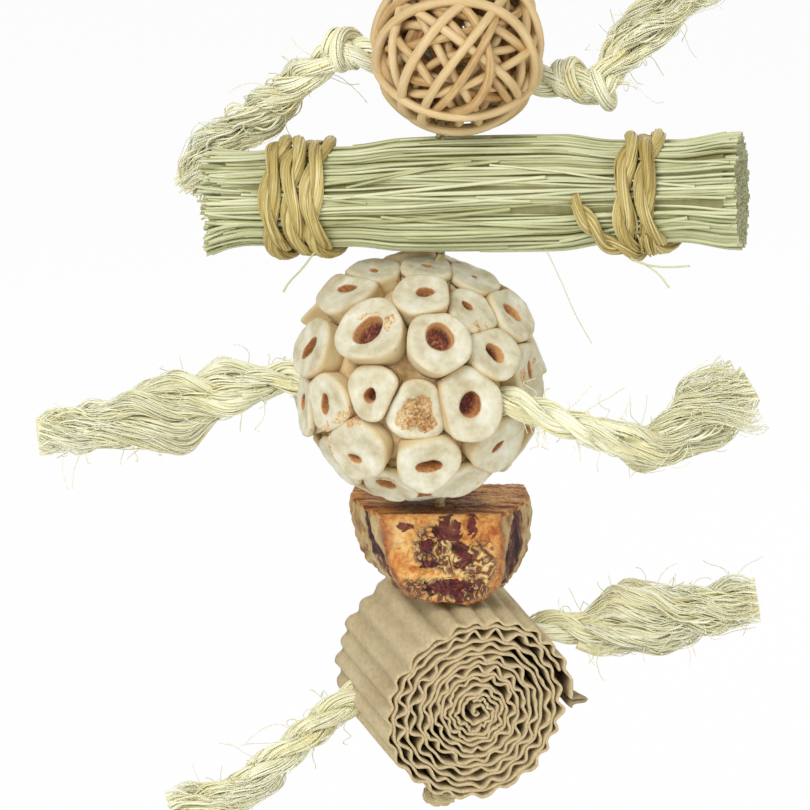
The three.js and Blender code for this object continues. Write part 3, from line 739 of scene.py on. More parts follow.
def makeCord():
    look = cordLook
    rng = np.random.default_rng(11)
    thin, high, half = look["radius"], look["loopHeight"], look["loopHalfWidth"]
    leg = thin + 0.3
    side = [(leg, 0, -high), (half * 0.7, 0, -high * 0.7), (half, 0, -high * 0.36), (0, 0, -thin)]
    points = [(-x, y, z) for x, y, z in side] + side[-2::-1]
    loopLine = smoothLine(points, look["loopSpacing"])
    piece = sweep("hangingLoop", twistedCord(loopLine, rng), paints["cord"], 5)
    loop = fit(piece, "hanger", "cord", "hanging_loop")
    for name, body, node, turns in look["knots"]:
        low, top = (np.array(corner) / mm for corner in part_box(node))
        middle, size = (low + top) / 2, (top - low) / 2
        turn = np.linspace(0, fullTurn * turns, look["knotSteps"] * turns)
        rise = np.linspace(size[2] - thin, thin - size[2], len(turn))
        wrap = (size[0] - look["knotInset"]) * np.sqrt(np.clip(1 - (rise / (size[2] * 1.5)) ** 2, 0, 1))
        lift = rise + look["knotLean"] * np.sin(turn)
        coil = middle + np.column_stack([wrap * np.cos(turn), wrap * np.sin(turn), lift])
        core = middle + np.column_stack([np.zeros(9), np.zeros(9), np.linspace(-0.8, 0.8, 9) * size[2]])
        strands = twistedCord(coil, rng) + twistedCord(core, rng, size[0] * look["knotCore"])
        fit(sweep(name, strands, paints["cord"], 5), body, "cord", node)
    for place in range(1, look["lengths"] + 1):
        low, top = (np.array(corner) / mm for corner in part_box(f"core_cord_{place}"))
        ends = [(0, 0, top[2]), (0, 0, (top[2] + low[2]) / 2), (0, 0, low[2])]
        line = smoothLine(ends, look["spacing"])
        piece = sweep(f"coreCord{place}", twistedCord(line, rng), paints["cord"], 5, place)
        fit(piece, f"cord_{place}", "cord", f"core_cord_{place}")
    print("cord and knots made")


makeCord()


# Rattan ball and its knotted rope

rattanBall = {
    "radius": 25.0,
    "cane": 1.34,
    "viewTilt": 15.0,
    # Canes on the side in view, outermost first: three places each, across and up as shares of the radius
    "front": [
        ((-0.86, -0.46), (-0.13, -0.82), (0.70, -0.65)), ((-0.95, -0.08), (0.06, 0.51), (0.88, -0.42)),
        ((0.90, 0.30), (0.94, -0.20), (0.70, -0.69)), ((-0.67, -0.61), (-0.47, -0.05), (-0.06, 0.40)),
        ((-0.35, -0.66), (-0.03, -0.16), (0.28, 0.26)), ((-0.19, -0.69), (0.12, -0.26), (0.40, 0.20)),
        ((-0.88, 0.31), (-0.97, -0.07), (-0.84, -0.50)), ((-0.73, 0.40), (-0.79, -0.15), (-0.71, -0.60)),
        ((-0.24, 0.24), (0.05, 0.04), (0.60, -0.45)), ((0.01, -0.54), (0.45, -0.35), (0.79, -0.10)),
        ((-0.50, -0.26), (-0.31, -0.50), (-0.13, -0.75)), ((0.30, 0.32), (0.62, 0.14), (0.86, -0.10)),
        ((0.34, -0.27), (0.59, -0.60), (0.66, -0.72)), ((0.86, -0.10), (0.80, -0.38), (0.66, -0.70)),
        ((-0.60, 0.00), (-0.10, 0.10), (0.50, 0.30)), ((-0.28, -0.02), (-0.13, -0.27), (0.12, -0.70)),
    ],
    "others": 9,
    "steps": 96,
    "sink": 3.4,
    "inner": 17.0,
    "innerHoops": 12,
    "innerRadius": 16.8,
    "innerCane": 0.92,
    # Canes that cross are found within so many cane radii, wanted so far apart, and pushed in rounds
    "crossNear": 2.1,
    "crossApart": 2.0,
    "tidyRounds": 40,
    "tidyPush": 0.25,
    "tidyCrowd": 0.4,
    "tidyGain": 1.4,
    "tidyKeep": 0.6,
    "tidySmooth": 0.2,
    "rope": {"left": [-31.2, 7.1, -3.5], "right": [31.2, 7.1, -11.9]},
}
knotLook = {
    "half": [5.6, 6.4, 7.6],
    "inset": (3.2, 4.1),
    "turns": 1.45,
    "before": 0.9,
    "steps": 60,
    "tuckedOver": 0.14,
    "advance": 0.6,
    "advanceOver": 9.1,
    "lean": 2.2,
    "wobble": 1.7,
    # The second lump of the right knot, as shares of the half sizes: out and down
    "second": (1.45, 0.2),
    "rope": 3.5,
    "lay": 46.0,
    "fibres": 30,
    "thick": 0.29,
}
rattanTails = {
    "left": {
        "route": [[0, 0, 0], [-8.8, 3.4, -5.3], [-18.8, 15, -16.2], [-28.8, 25, -26.8], [-36.8, 30.4, -35.6],
                  [-43.8, 33.6, -46.2]],
        "widths": [4.0, 5.4, 5.2, 5.5, 6.2, 5.4],
        "frayFrom": 0.14,
        "crimp": 0.34,
        "bodies": 0.34,
        "hairs": 20,
    },
    "right": {
        "route": [[0, 0, 0], [2.2, -0.5, 5.6], [9, -2.1, 14.9], [17.9, -4.1, 24.4], [24.2, -6.1, 32.1],
                  [30.7, -8.1, 39.6]],
        "widths": [4.4, 5.6, 6.6, 7.6, 8.4, 7.0],
        "frayFrom": 0.1,
    },
}


def hoopWays(normal, off, bend, turn):
    # Where a hoop lies on the ball: off is how far it stands from the ball's middle
    first = unit(np.cross(normal, [0.3, 0.2, 1.0]))
    span = math.sqrt(max(0.05, 1 - off**2))
    flat = np.outer(np.cos(turn), first) + np.outer(np.sin(turn), np.cross(normal, first))
    return unit(flat * span + np.outer(off + bend, normal))


def makeCanes():
    look = rattanBall
    rng = np.random.default_rng(5)
    steps = look["steps"]
    outer = look["radius"] - look["cane"] - 0.3
    turn = np.linspace(0, fullTurn, steps, endpoint=False)
    tilt = math.radians(look["viewTilt"])
    view = np.array([[1, 0, 0], [0, math.sin(tilt), math.cos(tilt)], [0, -math.cos(tilt), math.sin(tilt)]])

    def wave(most, times):
        return most * np.sin(times * turn + rng.uniform(0, anyAngle))

    hoops = []
    for places in look["front"]:
        spots = np.array([(x, y, math.sqrt(max(0.02, 1 - x * x - y * y))) for x, y in places])
        a, b, c = unit(spots) @ view
        normal = unit(np.cross(b - a, c - a))
        hoops.append(hoopWays(normal, normal.dot(a), wave(0.02, 3), turn))
    for hoop in range(look["others"]):
        rise = 1 - (hoop + 0.5) / look["others"]
        angle = hoop * goldenTurn + rng.uniform(-0.3, 0.3)
        flat = math.sqrt(1 - rise**2)
        normal = np.array([flat * math.cos(angle), flat * math.sin(angle), rise])
        bend = wave(0.1, 2) + wave(0.06, 3)
        hoops.append(hoopWays(normal, rng.uniform(-0.4, 0.4), bend, turn))
    ways = np.array(hoops)
    sink = np.linspace(0.0, look["sink"], len(hoops))[:, None]
    reach = np.full(ways.shape[:2], outer) - sink
    spots = ways.reshape(-1, 3)
    tree = kdtree.KDTree(len(spots))
    for index, way in enumerate(spots):
        tree.insert(way, index)
    tree.balance()
    near = look["crossNear"] * look["cane"] / outer
    # Where two canes cross, the one listed first passes over the other
    pairs = []
    for index, way in enumerate(spots):
        found = [other for _, other, _ in tree.find_range(way, near)]
        pairs += [(index, other) for other in found if other // steps > index // steps]
    over, under = np.array(pairs).T
    gap = np.linalg.norm(spots[over] - spots[under], axis=1) * outer
    wanted = np.sqrt(np.maximum(0, (look["crossApart"] * look["cane"]) ** 2 - gap**2))
    for _ in range(look["tidyRounds"]):
        line = reach.ravel().copy()
        short = np.maximum(0, wanted - line[over] + line[under]) * look["tidyPush"]
        push, times = np.zeros_like(line), np.ones_like(line)
        np.add.at(push, over, short)
        np.add.at(push, under, -short)
        np.add.at(times, np.concatenate([over, under]), look["tidyCrowd"])
        reach = (line + push / times * look["tidyGain"]).reshape(reach.shape)
        for shift in (1, 2):
            beside = np.roll(reach, shift, 1) + np.roll(reach, -shift, 1)
            reach = look["tidyKeep"] * reach + look["tidySmooth"] * beside
        reach = np.clip(reach, look["inner"], outer)
    strands = [(tower["rattan"] + way * span[:, None], look["cane"] * rng.uniform(0.86, 1.08))
               for way, span in zip(ways, reach)]
    canes = sweep("rattanCanes", strands, paints["cane"], 8, 3, closed=True)
    fit(canes, "rattan_ball", "cane", "cane_shell_outer", "cane_shell_middle")
    # Inner hoops in the darker cane paint: painted shade inside the ball
    strands = []
    for _ in range(look["innerHoops"]):
        bend = wave(0.12, 2)
        around = hoopWays(unit(rng.normal(0, 1, 3)), rng.uniform(-0.5, 0.5), bend, turn)
        span = look["innerRadius"] * rng.uniform(0.88, 1.06)
        strands.append((tower["rattan"] + around * span, look["cane"] * look["innerCane"]))
    inner = sweep("innerCanes", strands, paints["innerCane"], 7, 4, closed=True)
    fit(inner, "rattan_ball", "cane", "cane_shell_inner")


def knotStrands(centre, outward, place, rng):
    # An overhand knot: the rope goes round itself and under its own turn
    look = knotLook
    wide, deep, tall = look["half"]
    turn = np.linspace(-look["before"], fullTurn * look["turns"], look["steps"])
    lean = look["lean"] + 0.5 * place
    share = np.linspace(0, 1, len(turn))
    tuck = np.clip(np.minimum(share, 1 - share) / look["tuckedOver"], 0.1, 1) ** 0.7
    ahead = outward * (turn / look["advanceOver"] - 0.5) * wide * look["advance"]
    wrap = np.column_stack([
        ahead + look["wobble"] * np.sin(turn + lean),
        (deep - look["inset"][0]) * np.cos(turn) * tuck,
        (tall - look["inset"][1]) * np.sin(turn) * tuck + 0.5,
    ])
    return layRope(centre + wrap, look["rope"], rng, 2, look["lay"], look["fibres"], look["thick"])


def makeRattanRope():
    ends = {side: tower["rattan"] + np.array(place) for side, place in rattanBall["rope"].items()}
    middle = (ends["left"] + ends["right"]) / 2
    wide, _, tall = knotLook["half"]
    out, down = knotLook["second"]
    for order, (side, tail) in enumerate(rattanTails.items()):
        rng = np.random.default_rng(31 + order)
        outward = -1 if side == "left" else 1
        lumps = [ends[side]]
        if side == "right":
            lumps.append(ends[side] + np.array([wide * out, 0, -tall * down]))
        strands = []
        for place, centre in enumerate(lumps):
            strands += knotStrands(centre, outward, place, rng)
        knot = sweep(f"rattanKnot{side.title()}", strands, paints["sisal"], 4, order)
        fit(knot, "rattan_ball", "sisal", f"rattan_knot_{side}")
        inside = [middle, middle * 0.5 + ends[side] * 0.5, *lumps[:-1]]
        tail = dict(tail, start=lumps[-1], exit=middle * 0.2 + ends[side] * 0.8)
        ropeTail("rattan", side, "rattan_ball", inside, tail, 41 + order)


makeCanes()
makeRattanRope()
print("rattan ball made")


# Grass sheaf with its two bands

grassSheaf = {
    "yaw": -8.5,
    "tilt": -3.0,
    "left": 66.5,
    "right": 84.4,
    "waist": 13.9,
    "shoulder": 15.0,
    "profile": [(-66.5, 13.0), (-54, 13.2), (-20, 15.2), (0, 15.9),
                (30, 15.9), (48, 15.5), (70, 15.6), (84.4, 16.4)],
    "stalk": 0.56,
    "stalks": 640,
    "stalkSpacing": 2.6,
    "stalkThickness": (0.6, 1.25),
    "leftUneven": 4.2,
    "rightUneven": 0.7,
    "shortStalks": 0.15,
    "shortBy": (4, 16),
    "sway": 0.05,
    "waver": 0.025,
    "waverRun": (16, 40),
    "twist": 0.0012,
    "twistUneven": 1.4,
    "bow": 0.25,
    "bowRun": (12, 30),
    # Loose stalks that lie across their neighbours
    "loose": 44,
    "looseSpacing": 3.0,
    "looseFrom": (-60, 50),
    "looseRun": (35, 90),
    "looseTurn": 0.55,
    "looseRise": 0.35,
    "looseSunk": 0.15,
    "looseThickness": (0.6, 1.0),
    # Stalks nearer to the axis than this share of the radius are drawn at their ends only
    "skin": 0.85,
    "leftEnds": 16,
    "rightEnds": 14,
    "heart": 0.89,
    # At the left end the stalks splay, and a lower bunch parts from the rest
    "splayFrom": -50,
    "splayOver": 18,
    "lowerBunch": -0.35,
    "lowerDrop": 4.2,
    "upperDrop": -0.6,
    # Stray stalks below: route and thickness
    "strays": [
        ([(-34, -9.5, -13.0), (-38, -10, -18), (-42, -9, -22), (-44, -8.5, -25)], 0.3),
        ([(48, -8, -13.0), (55, -9, -17.5), (62, -10, -19), (70, -11.5, -18.5)], 0.3),
        ([(56, -9, -17.5), (61, -9.5, -21), (64, -10, -25)], 0.3),
        ([(30, -9, -13.5), (34, -11, -22), (38, -12, -32), (42, -12, -40)], 0.14),
    ],
    "straySpacing": 2.0,
    "bandRadius": 14.9,
    "bandRope": 3.0,
    "bandPitch": 6.3,
    "bandBow": 1.8,
    "bandLay": 34.0,
    "bandFibres": 27,
    "bandFibre": 0.3,
    "bandSqueeze": (0.75, 1.06),
    "bandOverlap": 0.35,
    "bandSteps": 40,
    "bandUneven": 0.07,
    # The ends of a band go under by this much
    "bandTuck": 1.2,
    "bands": {
        "left": {"middle": -37.4, "turns": 3, "waistHalf": 12.25},
        "right": {"middle": 57.9, "turns": 2, "waistHalf": 8.5},
    },
    # The right band's end comes out of the stalks and runs under its own turn: along, degrees, reach
    "knot": [(39.5, -6, 14.0), (41.5, 6, 16.0), (46.0, 36, 16.6), (52.5, 60, 16.9), (57.0, 84, 16.6),
             (60.0, 112, 15.0)],
    "knotRope": 2.5,
    "knotLay": 22.0,
    "knotFibres": 15,
    # It is cut off as a tuft
    "tuft": 34,
    "tuftAlong": 58.3,
    "tuftReach": 15.4,
}
sheafYaw = Matrix.Rotation(math.radians(grassSheaf["yaw"]), 3, "Z")
sheafTilt = Matrix.Rotation(math.radians(grassSheaf["tilt"]), 3, "Y")
sheafTurn = np.array(sheafYaw @ sheafTilt)


def inSheaf(points):
    return tower["sheaf"] + np.asarray(points, float) @ sheafTurn.T


def sheafReach(along):
    # How far the outermost stalks stand from the sheaf's axis
    look = grassSheaf
    full = np.interp(along, *zip(*look["profile"]))
    for band in look["bands"].values():
        past = np.abs(along - band["middle"]) - band["waistHalf"]
        inside = np.clip(past / look["shoulder"], 0, 1)
        full = np.minimum(full, look["waist"] + (full - look["waist"]) * inside**2 * (3 - 2 * inside))
    return full


def onSheaf(along, angle, reach):
    # A place on the sheaf: angle 0 is the front, and 90 degrees is underneath
    return inSheaf(np.column_stack([along, -reach * np.cos(angle), -reach * np.sin(angle)]))


def makeSheaf():
    look = grassSheaf
    rng = np.random.default_rng(21)
    skin = []
    for stalk in range(look["stalks"]):
        away, angle = math.sqrt((stalk + 0.5) / look["stalks"]), stalk * goldenTurn
        thick = look["stalk"] * rng.uniform(*look["stalkThickness"])
        low = -look["left"] + abs(rng.normal(0, look["leftUneven"]))
        low += rng.uniform(*look["shortBy"]) if rng.random() < look["shortStalks"] else 0
        high = look["right"] - rng.uniform(0, look["rightUneven"])
        along = np.append(np.arange(low, high - 1.5, look["stalkSpacing"]), high)
        outer = away > look["skin"]
        if not outer:
            along = along[(along < low + look["leftEnds"]) | (along > high - look["rightEnds"])]
        sway = rng.normal(0, look["sway"])
        waver = np.sin(along / rng.uniform(*look["waverRun"]) + rng.uniform(0, anyAngle))
        sway = sway + look["waver"] * waver
        turn = angle + sway + look["twist"] * along * rng.normal(0, look["twistUneven"])
        bow = look["bow"] * np.sin(along / rng.uniform(*look["bowRun"]) + stalk)
        reach = (sheafReach(along) - thick * 0.8) * away + bow
        splay = np.clip((look["splayFrom"] - along) / look["splayOver"], 0, 1) ** 2
        turn, reach = turn + splay * rng.normal(0, 0.08), reach + splay * rng.normal(0.1, 0.7)
        points = np.column_stack([along, reach * np.cos(turn), reach * np.sin(turn)])
        isLower = math.sin(angle) < look["lowerBunch"]
        points[:, 2] -= splay * (look["lowerDrop"] if isLower else look["upperDrop"])
        radii = thick * (1 - 0.25 * splay)
        parts = [points] if outer else [points[along < 0], points[along > 0]]
        radii = [radii] if outer else [radii[along < 0], radii[along > 0]]
        for part, width in zip(parts, radii):
            if len(part) > 2:
                skin.append((inSheaf(part), width))
    for _ in range(look["loose"]):
        start, span = rng.uniform(*look["looseFrom"]), rng.uniform(*look["looseRun"])
        along = np.arange(start, min(start + span, look["right"] - 1), look["looseSpacing"])
        if len(along) < 5:
            continue
        share = np.linspace(0, 1, len(along))
        angle = rng.uniform(0, anyAngle) + rng.uniform(-look["looseTurn"], look["looseTurn"]) * share
        rise = look["looseRise"] * np.sin(math.pi * share) ** 0.5
        points = onSheaf(along, angle, sheafReach(along) - look["looseSunk"] + rise)
        skin.append((points, look["stalk"] * rng.uniform(*look["looseThickness"])))
    for route, thick in look["strays"]:
        skin.append((inSheaf(smoothLine(route, look["straySpacing"])), thick))
    # The solid heart stands in for the inner stalks; its darker paint is painted shade seen between the
    # outer stalks
    along = np.linspace(-look["left"] + 7, look["right"] - 4, 60)
    core = np.column_stack([along, np.zeros_like(along), np.zeros_like(along)])
    heart = [(inSheaf(core), sheafReach(along) * look["heart"])]
    fit(sweep("grassStalks", skin, paints["stalk"], 5, 8), "sheaf", "grass", "grass_sheaf")
    fit(sweep("sheafHeart", heart, paints["shadedHeartStalk"], 24, 9), "sheaf", "grass")
    print("sheaf stalks:", len(skin))


def makeBands():
    look = grassSheaf
    for order, (side, band) in enumerate(look["bands"].items()):
        rng = np.random.default_rng(61 + order)
        past = look["bandOverlap"]
        turn = np.linspace(-past, fullTurn * band["turns"] + past, look["bandSteps"] * band["turns"])
        along = band["middle"] + (turn / fullTurn - band["turns"] / 2) * look["bandPitch"]
        along = along + np.sin(turn + 0.4) + 0.5 * np.sin(0.7 * turn)  # the turns lean
        along = along + look["bandBow"] * np.cos(turn)
        out = np.column_stack([np.zeros_like(turn), np.cos(turn), np.sin(turn)])
        ahead = np.column_stack([np.ones_like(turn), np.zeros_like(turn), np.zeros_like(turn)])
        nearEnd = np.clip(np.abs(turn - turn.mean()) / turn.mean() * 6 - 5.2, 0, 1)
        reach = look["bandRadius"] - look["bandTuck"] * nearEnd
        points = np.column_stack([along, reach * np.cos(turn), reach * np.sin(turn)])
        ways = (out @ sheafTurn.T, ahead @ sheafTurn.T)
        thick = look["bandRope"] * (1 + look["bandUneven"] * np.sin(1.7 * turn + order))
        strands = layRope(inSheaf(points), thick, rng, 2, look["bandLay"], look["bandFibres"],
                          look["bandFibre"], squeeze=look["bandSqueeze"], ways=ways)
        piece = sweep(f"{side}Band", strands, paints["grassRope"], 5, order)
        fit(piece, "sheaf", "grass_rope", f"{side}_band")
    rng = np.random.default_rng(71)
    along, angle, reach = np.array(look["knot"]).T
    line = smoothLine(onSheaf(along, np.radians(angle), reach), 1.3)
    strands = layRope(line, look["knotRope"], rng, 2, look["knotLay"], look["knotFibres"], look["bandFibre"])
    for _ in range(look["tuft"]):
        share = np.linspace(0, 1, 7)
        at = np.radians(rng.uniform(34, 48) + rng.uniform(22, 34) * share)
        reach = look["tuftReach"] + rng.uniform(0.4, 2.2) * share + rng.uniform(-0.5, 0.5)
        along = look["tuftAlong"] + rng.normal(0, 0.8) + rng.normal(0, 0.7) * share
        strands.append((onSheaf(along, at, reach), look["bandFibre"]))
    fit(sweep("rightBandKnot", strands, paints["grassRope"], 5, 7), "sheaf", "grass_rope", "right_band_knot")


makeSheaf()
makeBands()
print("grass sheaf made")


# Sola ball and its rope

solaBall = {
    "radius": 35.6,
    "core": 29.0,
    "widest": 9.9,
    "rounding": 46.0,
    "roundest": 1.03,
    "cornerRounding": 80.0,
    "crack": 0.1,
    "cutHalf": 6.8,
    "uneven": 1.2,
    "ripplePhase": 6,
    # Sticks that face down behind are shorter, clear of the wood when the tower bends
    "under": -0.6,
    "underShort": 1.2,
    "holeMost": 0.66,
    # The number of the stick whose hole stands high, and the direction in which it does
    "highHole": (10, 1.6),
    "rooted": 1.5,
    "taper": 0.5,
    "dish": 0.25,
    "tornDish": 1.3,
    "tornRough": 0.9,
    # Unevenness of the cut: how fine, how much, and how much more where it is rough
    "wobble": [(0.4, 0.3, 0.0), (1.3, 0.12, 1.0), (3.1, 0.05, 0.6)],
    # Rings of the rounded edge: how far in, how far down, and how much they look like the side
    "edge": [(0.0, 1.3, 1), (0.1, 0.7, 0.7), (0.34, 0.3, 0.35), (0.8, 0.08, 0.1), (1.4, 0.0, 0)],
    # Rings of the hole: share of its rim, how far down, pith and roughness. Pith above 1.15 takes the darker
    # floor colour in the deeper rings: the pith's own brown with painted shade
    "hole": [(0.97, 0.5, 0.95, 0.0), (0.93, 1.7, 1.1, 0.0), (0.86, 3.4, 1.5, 0.2), (0.45, 3.9, 2, 0.5)],
    "sides": 44,
    "viewTilt": 15.0,
    "fillSpacing": 23.0,
    "fillTries": 300,
    "faceUp": -0.1,
    "ropeWays": {"left": [-1, 0, 0], "right": [0.736, -0.677, -0.016]},
    "ropeProud": 1.9,
    "ropeInside": (27, 14),
    # Front sticks as seen from a little above: across and up as shares of the radius, then the pith
    # hole's half width, its aspect, its lean in degrees, and how far it stands off the middle
    "front": [
        (-0.38, 0.88, 1.8, 0.5, 10, 0.3), (0.08, 0.92, 1.6, 0.6, 0, 0.2), (0.46, 0.83, 1.2, 0.5, -15, 0.3),
        (-0.57, 0.71, 3.2, 0.5, 28, 0.2), (0.03, 0.64, 2.5, 0.75, -10, 0.25),
        (0.44, 0.55, 1.8, 0.75, -50, 0.5),
        (0.75, 0.52, 3.4, 0.62, -60, 0.1), (-0.85, 0.23, 4.0, 0.5, 65, 0.1),
        (-0.37, 0.36, 5.0, 0.72, 50, 0.1),
        (0.16, 0.27, 4.2, 0.95, 0, 0.4), (0.6, 0.2, 3.1, 0.72, -65, 0.05), (0.91, 0.04, 2.4, 0.6, 80, 0.2),
        (-0.75, -0.21, 3.0, 0.5, 85, 0.15), (-0.38, -0.12, 2.4, 0.75, 70, 0.5),
        (-0.02, -0.29, 0.0, 1.0, 0, 0.0), (0.39, -0.21, 3.7, 0.82, 80, 0.15),
        (-0.5, -0.58, 2.1, 0.6, -20, 0.5), (0.08, -0.69, 3.7, 0.5, 0, 0.2),
        (0.65, -0.55, 2.3, 0.45, 40, 0.2), (-0.24, -0.9, 3.3, 0.6, 0, 0.4), (0.35, -0.87, 0.0, 1.0, 0, 0.0),
    ],
    # By the number of the stick, from 1: how torn it is, how wide, and how far it stands out
    "torn": {15: 0.85, 3: 0.4, 12: 0.3, 20: 0.35, 7: 0.2, 9: 0.15},
    "size": {9: 1.04, 10: 1.03, 14: 0.9, 6: 0.94, 11: 0.86, 15: 1.24, 16: 1.06, 5: 0.9},
    "stand": {9: 2.4, 10: 2.8, 5: 1.8, 11: 1.6, 4: 0.6, 17: 1.0, 16: 1.2, 14: -0.4, 15: -1.8, 8: 1.0, 7: 0.2,
              6: -0.8, 13: -0.6, 18: 0.6, 20: -0.6, 12: -0.5, 1: -0.6, 2: -0.4, 3: -0.8},
}
solaTails = {
    "left": {
        "route": [[1.5, 0, 0], [-10.5, -1, -2], [-23.5, -2, -6], [-36.5, -4, -9], [-52.5, -6, -12.5],
                  [-68, -8, -13.5]],
        "widths": [5, 7.5, 9.6, 9, 6.2, 4],
        "frayFrom": 0.06,
    },
    "right": {
        "route": [[-1.6, 0.8, 0.1], [8.4, -2.6, -2.9], [19.4, -4.6, -6.4], [29.9, -5.6, -9.8],
                  [38.4, -5.6, -10.4], [46.4, -4.6, -5.4], [54.4, -3.6, 0.6], [63.9, -2.6, 6.1]],
        "widths": [4.4, 4.6, 5, 6, 7, 8, 9.6, 12],
        "frayFrom": 0.42,
        "radius": 4.4,
    },
}


def stickWays():
    look = solaBall
    tilt = math.radians(look["viewTilt"])
    viewUp = np.array([0, math.sin(tilt), math.cos(tilt)])
    viewOut = np.array([0, -math.cos(tilt), math.sin(tilt)])
    ways = []
    for across, up, *_ in look["front"]:
        out = math.sqrt(max(0, 1 - across**2 - up**2))
        ways.append(unit(np.array([across, 0, 0]) + viewUp * up + viewOut * out))
    cordWays = [unit(np.array([-tower["sola"][0], 0, way * look["radius"]])) for way in (1, -1)]
    keepOut = cordWays + [unit(np.array(way, float)) for way in look["ropeWays"].values()]
    apart = math.radians(look["fillSpacing"])
    for attempt in range(look["fillTries"]):
        rise = 1 - 2 * (attempt + 0.5) / look["fillTries"]
        flat, angle = math.sqrt(1 - rise**2), attempt * goldenTurn
        way = np.array([flat * math.cos(angle), flat * math.sin(angle), rise])
        clear = all(math.acos(np.clip(way.dot(other), -1, 1)) > apart for other in ways)
        if clear and all(math.acos(np.clip(way.dot(hole), -1, 1)) > apart * 0.6 for hole in keepOut):
            ways.append(way)
    return np.array(ways)


def lesser(first, second, sharp):
    # The smaller of two, with a smooth change from one to the other
    return -np.log(np.exp(-sharp * first) + np.exp(-sharp * second)) / sharp


def stickOutline(index, ways, sizes):
    # Pressed against its neighbours, with round corners
    look = solaBall
    way = ways[index]
    first = unit(np.cross([0.0, 0.0, 1.0], way) if abs(way[2]) < 0.95 else np.cross([0.0, 1.0, 0.0], way))
    second = np.cross(way, first)
    turn = np.linspace(0, fullTurn, look["sides"], endpoint=False)
    ahead = np.outer(np.cos(turn), first) + np.outer(np.sin(turn), second)
    limit = np.full(len(turn), look["widest"] * sizes[index] / look["radius"])
    for other, neighbour in enumerate(ways):
        if other == index or way.dot(neighbour) < 0.4:
            continue
        half = np.arctan2(1 - way.dot(neighbour), np.maximum(ahead @ neighbour, 1e-6))
        half = half * 2 * sizes[index] / (sizes[index] + sizes[other])
        limit = lesser(limit, half, look["rounding"])
    rounder = np.percentile(limit, 45) * look["roundest"]
    return first, second, turn, lesser(limit, rounder, look["cornerRounding"])


def makeStick(index, ways, sizes, rng):
    # One stick: cut flat at a slant of its own, with its pith hole
    look = solaBall
    way = ways[index]
    first, second, turn, limit = stickOutline(index, ways, sizes)
    front = index < len(look["front"])
    number = index + 1
    height = math.sqrt(look["radius"] ** 2 - look["cutHalf"] ** 2)
    height = height + look["stand"].get(number, 0.0) - rng.uniform(0, look["uneven"])
    if way[2] < look["under"] and not front:
        height -= look["underShort"]

    def ripple(most, waves):
        return most * np.sin(waves * turn + rng.uniform(0, look["ripplePhase"]))

    wide = np.tan(limit) * height - look["crack"]
    wide = wide * (1 + ripple(0.025, 3) + ripple(0.015, 5))
    torn = look["torn"].get(number, 0.0) if front else 0.0
    if front:
        _, _, hole, aspect, slant, off = look["front"][index]
    else:
        hole, aspect = rng.uniform(1.6, 3.6), rng.uniform(0.5, 0.95)
        slant, off = rng.uniform(0, 180), rng.uniform(0, 0.4)
    hole = min(hole, wide.min() * look["holeMost"])
    slant = math.radians(slant)
    highNumber, highAngle = look["highHole"]
    offAngle = rng.uniform(0, anyAngle) if number != highNumber else highAngle
    spare = max(0.0, wide.min() - hole - 1.0)
    shiftX, shiftY = off * spare * math.cos(offAngle), off * spare * math.sin(offAngle)
    rim = hole * aspect / np.sqrt((aspect * np.cos(turn - slant)) ** 2 + np.sin(turn - slant) ** 2)
    rim = rim * (1 + ripple(0.06, 2) + ripple(0.035, 3))
    tiltX, tiltY = rng.normal(0, 0.1), rng.normal(look["faceUp"], 0.08)
    vertices, pith, side, tornAt = [], [], [], []

    def ring(across, down, isPith, isSide, mid=1.0, rough=0.0, broken=0.0):
        level = np.clip(1 - (down - 2) / 4, 0, 1)  # the slant dies out towards the foot
        for place, reach in enumerate(np.broadcast_to(across, len(turn))):
            x = reach * math.cos(turn[place]) + shiftX * (1 - mid)
            y = reach * math.sin(turn[place]) + shiftY * (1 - mid)
            rise = height - down + (tiltX * x + tiltY * y) * level
            spot = tower["sola"] + way * rise + first * x + second * y
            wobble = 0.0
            for scale, most, rougher in look["wobble"]:
                wobble += noise.noise(Vector(spot * scale)) * (most + rougher * rough)
            vertices.append(spot + way * wobble * (0 if down > 6 else 1))
            pith.append(isPith)
            side.append(isSide)
            tornAt.append(torn * broken)

    foot = height - look["core"] + look["rooted"]
    ring(wide * (1 - foot / height * 0.55), foot, 0, 1)
    for down in (foot * 0.66, foot * 0.4, 2.6):
        ring(wide * (1 - down / height * look["taper"]), down, 0, 1)
    for back, down, flank in look["edge"]:
        ring(wide - back, down, 0, flank)
    dish = look["dish"] + look["tornDish"] * torn
    rough = torn * look["tornRough"]
    if hole <= 0:
        rim = wide * 0.3
    for share in (0.1, 0.35, 0.6, 0.85):
        across = (wide - 1.9) * (1 - share) + (rim + 0.25) * share
        broken = min(1, 0.35 + 1.3 * share)
        ring(across, dish * share * 0.8, 0, 0, 1 - share, rough * share**0.5, broken)
    if hole > 0:
        ring(rim, dish * 0.9 + 0.05, 0.5, 0, 0)
        for share, down, isPith, uneven in look["hole"]:
            ring(rim * share, dish + down, isPith, 0, 0, uneven)
    else:
        for share in (0.8, 0.6, 0.4, 0.2):
            ring(rim * share, dish, 0, 0, 0, rough, 1)
    return vertices, ringFaces(len(vertices), look["sides"]), {"pith": pith, "side": side, "torn": tornAt}


